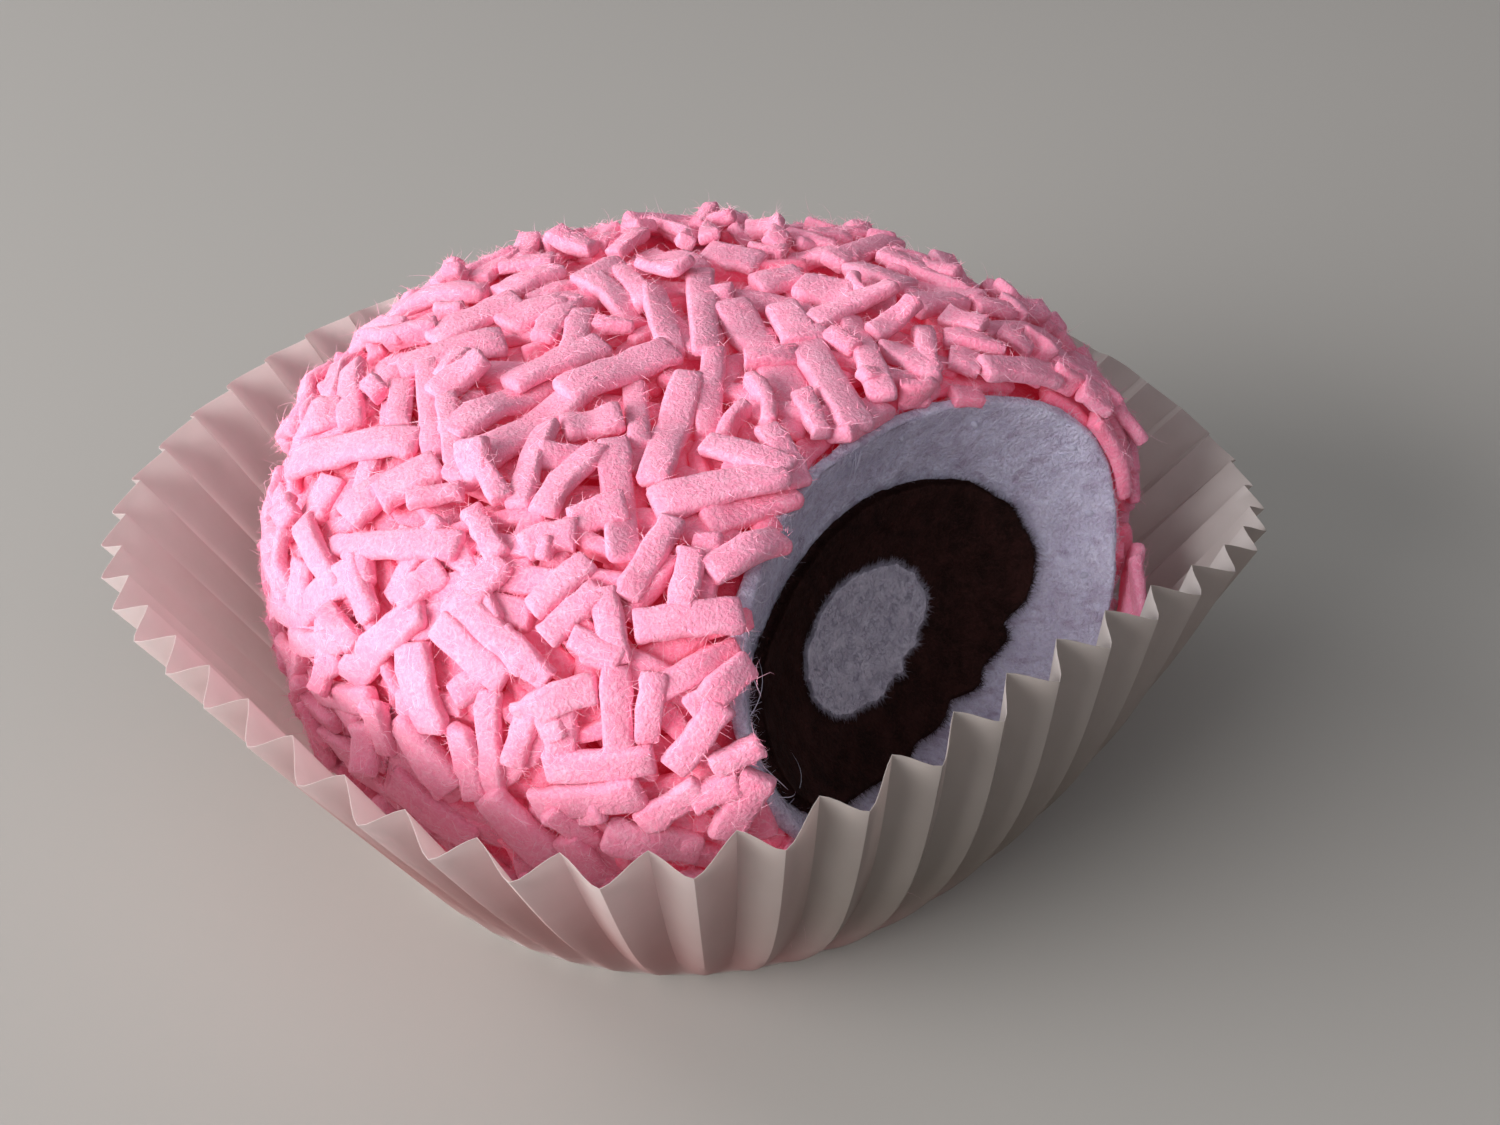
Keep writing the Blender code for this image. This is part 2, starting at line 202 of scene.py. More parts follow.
class ShaderSketch:
    """Adds and links the nodes of one material."""

    def __init__(self, name: str) -> None:
        """Start a material with a Principled shader.

        Args:
            name: the material's name.
        """
        self.material = bpy.data.materials.new(name)
        self.material.use_nodes = True
        self.tree = self.material.node_tree
        self.shader = self.tree.nodes["Principled BSDF"]
        self.output = self.tree.nodes["Material Output"]

    def add(self, kind: str, **inputs: object) -> bpy.types.Node:
        """Add a node and set its inputs by name, or link them when given a socket.

        Args:
            kind: the node's type name.
            **inputs: values or sockets, with underscores for spaces.

        Returns:
            The node.
        """
        node = self.tree.nodes.new(kind)
        for key, value in inputs.items():
            self.feed(node.inputs[key.replace("_", " ")], value)
        return node

    def feed(self, socket: Socket, value: object) -> None:
        """Link a socket to another, or set its value.

        Args:
            socket: the input.
            value: a number, a colour or another node's output.
        """
        if isinstance(value, Socket):
            self.tree.links.new(value, socket)
        else:
            socket.default_value = value

    def surface(self, **inputs: object) -> None:
        """Set or link the shader's own inputs.

        Args:
            **inputs: values or sockets, with underscores for spaces.
        """
        for key, value in inputs.items():
            self.feed(self.shader.inputs[key.replace("_", " ")], value)

    def place(self, stretch: Point = (1.0, 1.0, 1.0)) -> Socket:
        """Read the piece's own coordinates.

        Args:
            stretch: factors along the axes; less than 1 draws a pattern out.

        Returns:
            The coordinates.
        """
        coordinates = self.tree.nodes.new("ShaderNodeTexCoord")
        mapping = self.add("ShaderNodeMapping", Vector=coordinates.outputs["Object"], Scale=stretch)
        return mapping.outputs["Vector"]

    def grain(self, place: Socket, size: float, detail: float = 3.0, warp: float = 0.0) -> Socket:
        """Return noise whose lumps have about the given size, in metres."""
        node = self.add("ShaderNodeTexNoise", Vector=place, Scale=1.0 / size, Detail=detail, Distortion=warp)
        return node.outputs["Fac"]

    def spread(self, value: Socket, low: float, high: float, start: float = 0.0, end: float = 1.0) -> Socket:
        """Stretch a value's range, clamped at both ends.

        Args:
            value: the value.
            low: where its range starts.
            high: where its range ends.
            start: what low becomes.
            end: what high becomes.

        Returns:
            The stretched value.
        """
        node = self.add("ShaderNodeMapRange", Value=value)
        for key, number in zip(("From Min", "From Max", "To Min", "To Max"), (low, high, start, end)):
            node.inputs[key].default_value = number
        return node.outputs["Result"]

    def mix(self, share: object, first: object, second: object) -> Socket:
        """Mix two colours.

        Args:
            share: of the second colour.
            first: a colour or a socket.
            second: a colour or a socket.

        Returns:
            The mixed colour.
        """
        node = self.tree.nodes.new("ShaderNodeMix")
        node.data_type = "RGBA"
        for key, value in (("Factor", share), (FIRST_COLOUR, first), (SECOND_COLOUR, second)):
            self.feed(node.inputs[key], (*value, 1.0) if isinstance(value, tuple) else value)
        return node.outputs[MIXED_COLOUR]

    def hairlines(self, place: Socket, size: float, width: float) -> Socket:
        """Return thin curly lines, as matted fibres make: 1 on a line and 0 off it.

        Args:
            place: the coordinates.
            size: size of the curls.
            width: width of a line, as a share of the noise's range.

        Returns:
            The lines.
        """
        centred = self.tree.nodes.new("ShaderNodeMath")
        centred.operation = "SUBTRACT"
        self.feed(centred.inputs[0], self.grain(place, size, 1.5, 1.4))
        centred.inputs[1].default_value = 0.5
        away = self.tree.nodes.new("ShaderNodeMath")
        away.operation = "ABSOLUTE"
        self.feed(away.inputs[0], centred.outputs["Value"])
        return self.spread(away.outputs["Value"], 0.0, width, 1.0, 0.0)

    def attribute(self, name: str) -> Socket:
        """Read one of the piece's own numbers.

        Args:
            name: the attribute's name.

        Returns:
            The number at each point.
        """
        node = self.tree.nodes.new("ShaderNodeAttribute")
        node.attribute_name = name
        return node.outputs["Fac"]

    def bump(self, height: Socket, strength: float, depth: float, under: Socket | None = None) -> Socket:
        """Bend the normal by a height.

        Args:
            height: from 0 to 1.
            strength: of the bending.
            depth: how high the height 1 is.
            under: a bent normal to start from.

        Returns:
            The bent normal.
        """
        node = self.add("ShaderNodeBump", Height=height, Strength=strength, Distance=depth)
        if under is not None:
            self.feed(node.inputs["Normal"], under)
        return node.outputs["Normal"]

    def let_through(self, share: float, colour: object, normal: Socket | None = None) -> None:
        """Let part of the light pass the surface.

        Args:
            share: of the light.
            colour: of the light that passes, or the socket that gives it.
            normal: the surface's bent normal, where it has one.
        """
        behind = self.tree.nodes.new("ShaderNodeBsdfTranslucent")
        if normal is not None:
            self.feed(behind.inputs["Normal"], normal)
        self.feed(behind.inputs["Color"], (*colour, 1.0) if isinstance(colour, tuple) else colour)
        both = self.tree.nodes.new("ShaderNodeMixShader")
        both.inputs["Fac"].default_value = share
        self.feed(both.inputs[1], self.shader.outputs["BSDF"])
        self.feed(both.inputs[2], behind.outputs["BSDF"])
        self.feed(self.output.inputs["Surface"], both.outputs["Shader"])


@dataclass(frozen=True)
class FeltFinish:
    """Matted wool-like felt: mottled, fibrous and without gloss.

    Attributes:
        name: the material's name.
        face: colour of a clean face.
        mottle: colour of the patches in it.
        fibre: colour of the single fibres on it.
        painted_gap_shade: painted shade colour for the low places between the strips.
        glow: colour of the painted glow in the gaps, an emission that stands in for the light the felt
            scatters there.
        mottle_size: size of the patches.
        grain_size: size of the matted tufts.
        mottle_share: strength of the patches.
        fibre_share: strength of the single fibres.
        reads_strips: whether the piece stores a tone and a height for each strip.
        relief: depth of the tufts.
        sheen: strength of the pale sheen at grazing angles.
        dashes: strength of short darker streaks, as in pulled felt.
        painted_gap_glow: strength of that painted glow.
    """

    name: str
    face: Colour
    mottle: Colour
    fibre: Colour
    painted_gap_shade: Colour = (0.0, 0.0, 0.0)
    glow: Colour = (0.0, 0.0, 0.0)
    mottle_size: float = 2.2 * MM
    grain_size: float = 0.30 * MM
    mottle_share: float = 0.6
    fibre_share: float = 0.24
    reads_strips: bool = False
    relief: float = 0.16 * MM
    sheen: float = 0.15
    dashes: float = 0.0
    painted_gap_glow: float = 0.0

    def make(self) -> bpy.types.Material:
        """Build the material.

        Returns:
            The felt.
        """
        sketch = ShaderSketch(self.name)
        place = sketch.place()
        patches = sketch.grain(place, self.mottle_size, 4.0, 0.6)
        patches = sketch.spread(patches, 0.38, 0.66, 0.0, self.mottle_share)
        colour = sketch.mix(patches, self.face, self.mottle)
        if self.dashes > 0.0:
            streaks = sketch.grain(sketch.place((0.4, 1.0, 0.6)), 0.8 * MM, 2.0, 0.5)
            colour = sketch.mix(sketch.spread(streaks, 0.53, 0.68, 0.0, self.dashes), colour, self.mottle)
        if self.reads_strips:
            tone = sketch.attribute("tone")
            colour = sketch.mix(sketch.spread(tone, 0.0, 1.0, 0.0, 0.55), colour, self.mottle)
            # Painted shade: strips and parts of strips that lie low in the coat turn towards the painted gap
            # shade colour.
            height = sketch.spread(sketch.attribute("height"), 0.30, 0.95, 0.85, 0.0)
            colour = sketch.mix(height, colour, self.painted_gap_shade)
            # Painted light: the low places glow by emission, standing in for the light the felt scatters
            # into the gaps.
            glow = sketch.mix(height, (0.0, 0.0, 0.0), self.glow)
            sketch.surface(Emission_Color=glow, Emission_Strength=self.painted_gap_glow)
        tufts = sketch.grain(place, self.grain_size, 5.0, 0.4)
        colour = sketch.mix(sketch.spread(tufts, 0.34, 0.60, 0.45, 0.0), colour, self.mottle)
        long_fibres = sketch.hairlines(place, 1.6 * MM, 0.034)
        short_fibres = sketch.hairlines(sketch.place((0.7, 1.3, 1.0)), 0.6 * MM, 0.060)
        for fibres in (long_fibres, short_fibres):
            colour = sketch.mix(sketch.spread(fibres, 0.0, 1.0, 0.0, self.fibre_share), colour, self.fibre)
        sketch.surface(Base_Color=colour, Roughness=0.95, Specular_IOR_Level=0.12)
        sketch.surface(Sheen_Weight=self.sheen, Sheen_Roughness=0.6, Sheen_Tint=(*self.fibre, 1.0))
        normal = sketch.bump(tufts, 0.9, self.relief)
        normal = sketch.bump(sketch.grain(place, 0.14 * MM, 3.0, 1.5), 0.6, 0.3 * self.relief, normal)
        sketch.surface(Normal=normal)
        return sketch.material


@dataclass(frozen=True)
class FibreFinish:
    """Single loose fibres, too thin to show a pattern.

    Attributes:
        name: the material's name.
        face: the fibres' colour.
    """

    name: str
    face: Colour

    def make(self) -> bpy.types.Material:
        """Build the material.

        Returns:
            The fibres' finish.
        """
        sketch = ShaderSketch(self.name)
        sketch.surface(Base_Color=(*self.face, 1.0), Roughness=0.9, Specular_IOR_Level=0.1)
        sketch.let_through(0.5, self.face)
        return sketch.material


@dataclass(frozen=True)
class PaperFinish:
    """Thin greaseproof paper that glows a little where light stands behind it.

    Attributes:
        name: the material's name.
        face: the paper's colour.
        cloud: colour of its faint clouds.
        through: colour of the light that comes through.
        glow: share of the light that comes through.
        painted_show_through: its colour where the pink felt lies close behind, painted to stand for the
            felt's light showing through and the shade there.
        through_backed: colour of the light that comes through there.
        shaded: its colour on the dark side beside the bite, low down.
    """

    name: str
    face: Colour
    cloud: Colour
    through: Colour
    glow: float
    painted_show_through: Colour
    through_backed: Colour
    shaded: Colour

    def make(self) -> bpy.types.Material:
        """Build the material.

        Returns:
            The paper.
        """
        sketch = ShaderSketch(self.name)
        place = sketch.place()
        clouds = sketch.grain(place, 2.5 * MM, 4.0)
        pulp = sketch.grain(place, 0.12 * MM, 3.0, 0.8)
        colour = sketch.mix(sketch.spread(clouds, 0.35, 0.65, 0.0, 0.7), self.face, self.cloud)
        colour = sketch.mix(sketch.spread(pulp, 0.35, 0.7, 0.08, 0.0), colour, self.cloud)
        # Painted light and shade: the paper is coloured dark pink where the felt lies close behind, for the
        # felt's light showing through, and dark on the outside beside the bite, for the shade there; the
        # light let through is tinted the same way.
        painted_pink_mask = sketch.attribute("painted_pink_mask")
        shading = sketch.attribute("shaded")
        colour = sketch.mix(shading, colour, self.shaded)
        colour = sketch.mix(painted_pink_mask, colour, self.painted_show_through)
        sketch.surface(Base_Color=colour, Roughness=0.46, Specular_IOR_Level=0.35)
        normal = sketch.bump(sketch.grain(place, 1.4 * MM, 2.0), 0.12, 0.2 * MM)
        normal = sketch.bump(pulp, 0.12, 0.03 * MM, normal)
        sketch.surface(Normal=normal)
        passing = sketch.mix(painted_pink_mask, self.through, self.through_backed)
        sketch.let_through(self.glow, sketch.mix(shading, passing, self.shaded), normal)
        return sketch.material


@dataclass(frozen=True)
class FloorFinish:
    """Plain pale studio floor.

    Attributes:
        face: its colour.
    """

    face: Colour = (0.42, 0.40, 0.37)

    def make(self) -> bpy.types.Material:
        """Build the material.

        Returns:
            The floor's paint.
        """
        sketch = ShaderSketch("floor_paint")
        sketch.surface(Base_Color=(*self.face, 1.0), Roughness=0.8)
        return sketch.material


PINK_FELT = FeltFinish(
    name="pink_felt",
    face=(0.93, 0.365, 0.52),
    mottle=(0.90, 0.23, 0.375),
    fibre=(0.98, 0.61, 0.73),
    # Painted shade colour for the low places between the strips.
    painted_gap_shade=(0.98, 0.19, 0.31),
    # Painted glow colour, given off by emission in those low places.
    glow=(1.0, 0.05, 0.13),
    fibre_share=0.28,
    reads_strips=True,
    sheen=0.35,
    painted_gap_glow=0.13,
)
# The body's own felt, coloured a deeper red than the strips as painted shade: it shows only down in the gaps
# between them.
PINK_BASE_GAP_SHADE_FELT = FeltFinish(
    name="pink_base_felt_gap_shade", face=(0.93, 0.17, 0.28), mottle=(0.84, 0.09, 0.18), fibre=(0.96, 0.38, 0.48)
)
# The lining's white felt, tinted lilac as painted cool shade light.
WHITE_FELT = FeltFinish(
    name="white_felt",
    face=(0.82, 0.785, 0.98),
    mottle=(0.48, 0.38, 0.54),
    fibre=(0.90, 0.88, 0.98),
    mottle_size=2.6 * MM,
    mottle_share=0.42,
    relief=0.34 * MM,
    dashes=0.8,
)
PALE_FELT = FeltFinish(
    name="pale_felt",
    face=(0.61, 0.575, 0.67),
    mottle=(0.41, 0.375, 0.46),
    fibre=(0.70, 0.67, 0.75),
    mottle_size=1.5 * MM,
    relief=0.16 * MM,
    dashes=0.25,
    fibre_share=0.14,
)
BROWN_FELT = FeltFinish(
    name="brown_felt",
    face=(0.040, 0.014, 0.012),
    mottle=(0.014, 0.006, 0.005),
    fibre=(0.075, 0.028, 0.024),
    mottle_share=0.9,
    sheen=0.0,
    relief=0.25 * MM,
)
PINK_FIBRE = FibreFinish("pink_fibre", (0.97, 0.50, 0.64))
PALE_PINK_FIBRE = FibreFinish("pale_pink_fibre", (0.99, 0.70, 0.80))
WHITE_FIBRE = FibreFinish("white_fibre", (0.82, 0.80, 0.90))
BROWN_FIBRE = FibreFinish("brown_fibre", (0.048, 0.019, 0.016))
PALE_FIBRE = FibreFinish("pale_fibre", (0.60, 0.565, 0.66))
WHITE_PAPER = PaperFinish(
    name="white_paper",
    face=(0.76, 0.715, 0.69),
    cloud=(0.69, 0.64, 0.61),
    through=(0.84, 0.77, 0.75),
    glow=0.50,
    painted_show_through=(0.29, 0.085, 0.075),
    through_backed=(0.82, 0.62, 0.62),
    shaded=(0.19, 0.155, 0.115),
)


# --- Forms, as the solids have them ---
@dataclass(frozen=True)
class View:
    """The camera's place and lens, which give the photograph's view.

    Attributes:
        place: where the camera stands.
        tilt: how far it looks up from straight down.
        lens: focal length, in millimetres.
        sensor: its width, in millimetres.
        picture: the picture's width and height, in picture points.
    """

    place: Point = (5.487 * MM, -144.10 * MM, 121.96 * MM)
    tilt: float = math.radians(54.842)
    lens: float = 52.8
    sensor: float = 36.0
    picture: tuple[int, int] = (1500, 1125)

    def ray(self, point: tuple[int, int]) -> np.ndarray:
        """Find the direction in which a picture point is seen.

        Args:
            point: across and down from the top left.

        Returns:
            The direction.
        """
        scale = self.sensor / self.lens / self.picture[0]
        across = (point[0] - 0.5 * self.picture[0]) * scale
        down = (point[1] - 0.5 * self.picture[1]) * scale
        level, steep = math.sin(self.tilt), math.cos(self.tilt)
        return unit(np.array((across, level - down * steep, -steep - down * level)))

    def points_per_metre(self, place: np.ndarray, run: np.ndarray) -> float:
        """Measure how large a metre looks.

        Args:
            place: where it lies.
            run: its direction.

        Returns:
            Its length in picture points.
        """
        sight = place - np.array(self.place)
        distance = float(np.linalg.norm(sight))
        across = float(np.linalg.norm(np.cross(run, sight / distance)))
        return across * self.picture[0] * self.lens / self.sensor / distance


@dataclass(frozen=True)
class CupShape:
    """The folded baking cup: 2 inch base, 1 1/4 inch wall, 48 pleats.

    Attributes:
        base_radius: of the flat disc.
        wall_length: up the wall.
        pleats: how many.
        sharpness: depth of the folds, as a share of what the paper allows.
        first_ridge: direction of the first outer ridge.
        lean_mean_deg: the wall's mean steepness.
        lean_waves_deg: cosine and sine parts of its changes, for 1, 2, ... turns.
        twist_waves_deg: the same for the turning of the rim against the base.
        belly_depth: how far the wall bulges where the cake presses on it.
        belly_direction: where it does.
        belly_focus: how narrow the bulge is.
        over_rim: height over the valleys' ends where the wall stops pressing.
    """

    base_radius: float = 25.4 * MM
    wall_length: float = 31.75 * MM
    pleats: int = 48
    sharpness: float = 0.93
    first_ridge: float = math.radians(184.63)
    lean_mean_deg: float = 55.9
    lean_waves_deg: tuple = ((-1.6, -6.3), (-0.7, -5.0), (-0.5, -1.7), (-3.8, 0.1))
    twist_waves_deg: tuple = ((-2.5, -0.1), (1.5, -6.3), (2.7, -0.8))
    belly_depth: float = 3.2 * MM
    belly_direction: float = math.radians(-50.0)
    belly_focus: int = 3
    over_rim: float = 1.5 * MM

    @staticmethod
    def wave(angle: float, waves_deg: tuple) -> float:
        """Sum cosine and sine waves round the cup.

        Args:
            angle: direction at the base.
            waves_deg: their parts in degrees, for 1, 2, ... turns.

        Returns:
            The sum, in radians.
        """
        total = 0.0
        for turns, (cosine, sine) in enumerate(waves_deg, start=1):
            total += cosine * math.cos(turns * angle) + sine * math.sin(turns * angle)
        return math.radians(total)

    def wall_point(self, angle: float, share: float, side: float) -> Vector:
        """Return a point of the wall.

        Args:
            angle: direction at the base.
            share: way up the wall, from 0 to 1.
            side: +1 on an outer ridge, -1 in a valley.

        Returns:
            The point.
        """
        lean = math.radians(self.lean_mean_deg) + self.wave(angle, self.lean_waves_deg)
        along = self.wall_length * share
        flat_radius = self.base_radius + along
        radius = self.base_radius + along * math.cos(lean)
        depth = math.pi / self.pleats * math.sqrt(max(0.0, flat_radius**2 - radius**2))
        offset = side * 0.5 * self.sharpness * depth
        facing = max(0.0, math.cos(angle - self.belly_direction))
        offset += self.belly_depth * facing**self.belly_focus * math.sin(math.pi * share)
        radius += offset * math.sin(lean)
        height = along * math.sin(lean) - offset * math.cos(lean)
        azimuth = angle + share * self.wave(angle, self.twist_waves_deg)
        return Vector((radius * math.cos(azimuth), radius * math.sin(azimuth), height))

    def room(self, point: np.ndarray) -> float:
        """Find how far out a point may lie before it meets the valleys.

        Args:
            point: any point over the cup's base.

        Returns:
            The radius, which has no limit above the rim.
        """
        azimuth = math.atan2(point[1], point[0])
        angle = azimuth
        share = 0.0
        for _ in range(3):
            rim = self.wall_point(angle, 1.0, -1.0)
            share = min(1.0, max(0.0, point[2] / rim.z))
            angle = azimuth - share * self.wave(angle, self.twist_waves_deg)
        valley = self.wall_point(angle, share, -1.0)
        if point[2] > valley.z + self.over_rim:
            return math.inf
        return math.hypot(valley.x, valley.y)


@dataclass(frozen=True)
class DomeShape:
    """The cake's outer form, over its coat of strips.

    Attributes:
        centre_x: its middle, to the right.
        centre_y: its middle, to the back.
        radius: at its widest.
        top: its greatest height.
        widest: the height at which it is widest.
        squareness: power of its rounding above that; 2 is an ellipse.
        underside: how far down its lower half reaches.
        floor: height at which the underside is flat.
    """

    centre_x: float = 2.15 * MM
    centre_y: float = 0.5 * MM
    radius: float = 34.1 * MM
    top: float = 40.4 * MM
    widest: float = 21.0 * MM
    squareness: float = 3.08
    underside: float = 24.0 * MM
    floor: float = 0.8 * MM

    def profile(self, turn: np.ndarray, inset: float = 0.0) -> tuple[np.ndarray, np.ndarray]:
        """Return radii and heights on the profile.

        Args:
            turn: angles from -90 degrees, the lowest point, to 90, the top.
            inset: how far inside the outer form.

        Returns:
            Radii and heights.
        """
        turn = np.asarray(turn, float)
        power = np.where(turn > 0.0, 2.0 / self.squareness, 1.0)
        radius = (self.radius - inset) * np.clip(np.cos(turn), 0.0, 1.0) ** power
        rise = np.where(turn > 0.0, self.top - self.widest - inset, self.underside - inset)
        height = self.widest + np.sign(turn) * rise * np.abs(np.sin(turn)) ** power
        return radius, height

    def inside(self, point: Vector, inset: float) -> bool:
        """Tell whether a point lies inside the form.

        Args:
            point: the point.
            inset: how far the form is set in.

        Returns:
            Whether it does.
        """
        out = math.hypot(point.x - self.centre_x, point.y - self.centre_y) / (self.radius - inset)
        above = point.z > self.widest
        reach = (self.top - self.widest if above else self.underside) - inset
        power = self.squareness if above else 2.0
        return out**power + abs((point.z - self.widest) / reach) ** power < 1.0

    def feet(self, points: np.ndarray) -> tuple[np.ndarray, np.ndarray]:
        """Drop points onto the outer form.

        Args:
            points: any points near the form.

        Returns:
            The nearest points on the form and the outward directions there.
        """
        across, heights, out_r, out_z = self.samples()
        away = points[:, :2] - (self.centre_x, self.centre_y)
        radius = np.linalg.norm(away, axis=1)
        radial = away / np.maximum(radius, 1e-9)[:, None]
        gap = (radius[:, None] - across) ** 2 + (points[:, 2:3] - heights) ** 2
        near = np.argmin(gap, axis=1)
        feet = np.column_stack((radial * across[near, None] + (self.centre_x, self.centre_y), heights[near]))
        normals = np.column_stack((radial * out_r[near, None], out_z[near]))
        return feet, unit(normals)

    @lru_cache
    def samples(self) -> tuple[np.ndarray, ...]:
        """Space points evenly along the profile.

        Returns:
            Their radii, their heights, and both parts of the outward directions.
        """
        fine_steps, even_steps = 20000, 1400
        radius, height = self.profile(np.radians(np.linspace(-80.0, 90.0, fine_steps)))
        run = np.concatenate(([0.0], np.cumsum(np.hypot(np.diff(radius), np.diff(height)))))
        even = np.linspace(0.0, run[-1], even_steps)
        across, heights = np.interp(even, run, radius), np.interp(even, run, height)
        out = unit(np.column_stack((np.gradient(heights), -np.gradient(across))))
        return across, heights, out[:, 0], out[:, 1]


@dataclass(frozen=True)
class BiteShape:
    """The bowl of the bite: part of an ellipsoid in the cake's front right side.

    Attributes:
        azimuth: direction in which it faces.
        elevation: how far up it faces.
        distance: of its middle from the cake's.
        radii: of the ellipsoid, across, up and out of the bite.
        roll: its turn about the direction it faces.
    """

    azimuth: float = math.radians(-42.0)
    elevation: float = math.radians(15.0)
    distance: float = 34.0 * MM
    radii: tuple = (24.3 * MM, 19.3 * MM, 19.0 * MM)
    roll: float = math.radians(-2.0)

    def matrix(self, dome: DomeShape) -> Matrix:
        """Set up the bite's own axes, which run across, up and out of it.

        Args:
            dome: the cake.

        Returns:
            The transform from them to the cake's.
        """
        level = math.cos(self.elevation)
        forward = (level * math.cos(self.azimuth), level * math.sin(self.azimuth))
        out = Vector((*forward, math.sin(self.elevation)))
        across = Vector((0.0, 0.0, 1.0)).cross(out).normalized()
        up = out.cross(across)
        turned = Matrix.Rotation(self.roll, 3, out)
        matrix = Matrix((turned @ across, turned @ up, out)).transposed().to_4x4()
        centre = Vector((dome.centre_x, dome.centre_y, dome.widest))
        matrix.translation = centre + out * self.distance
        return matrix

    def bowl(self, sweep: float, around: float, grow: float) -> Vector:
        """Return a point of the bowl in the bite's axes.

        Args:
            sweep: angle from the bowl's deepest point.
            around: direction in the plane of the bite's mouth.
            grow: how far behind the lining's face; less than 0 is in front.

        Returns:
            The point.
        """
        a, b, c = (radius + grow for radius in self.radii)
        ring = math.sin(sweep)
        return Vector((a * ring * math.cos(around), b * ring * math.sin(around), -c * math.cos(sweep)))

    def depth(self, points: np.ndarray, dome: DomeShape, grow: float = 0.0) -> np.ndarray:
        """Measure how far points lie from the bowl's middle.

        Args:
            points: the points.
            dome: the cake.
            grow: how far behind the lining's face the bowl is taken.

        Returns:
            1 for a point on the bowl, and less than 1 inside it.
        """
        back = np.array(self.matrix(dome).inverted())
        local = points @ back[:3, :3].T + back[:3, 3]
        return np.linalg.norm(local / (np.array(self.radii) + grow), axis=1)

    def inner(self, points: np.ndarray, dome: DomeShape, grow: float) -> np.ndarray:
        """Tell for each point whether it lies in the bite, grown by grow."""
        return self.depth(points, dome, grow) < 1.0


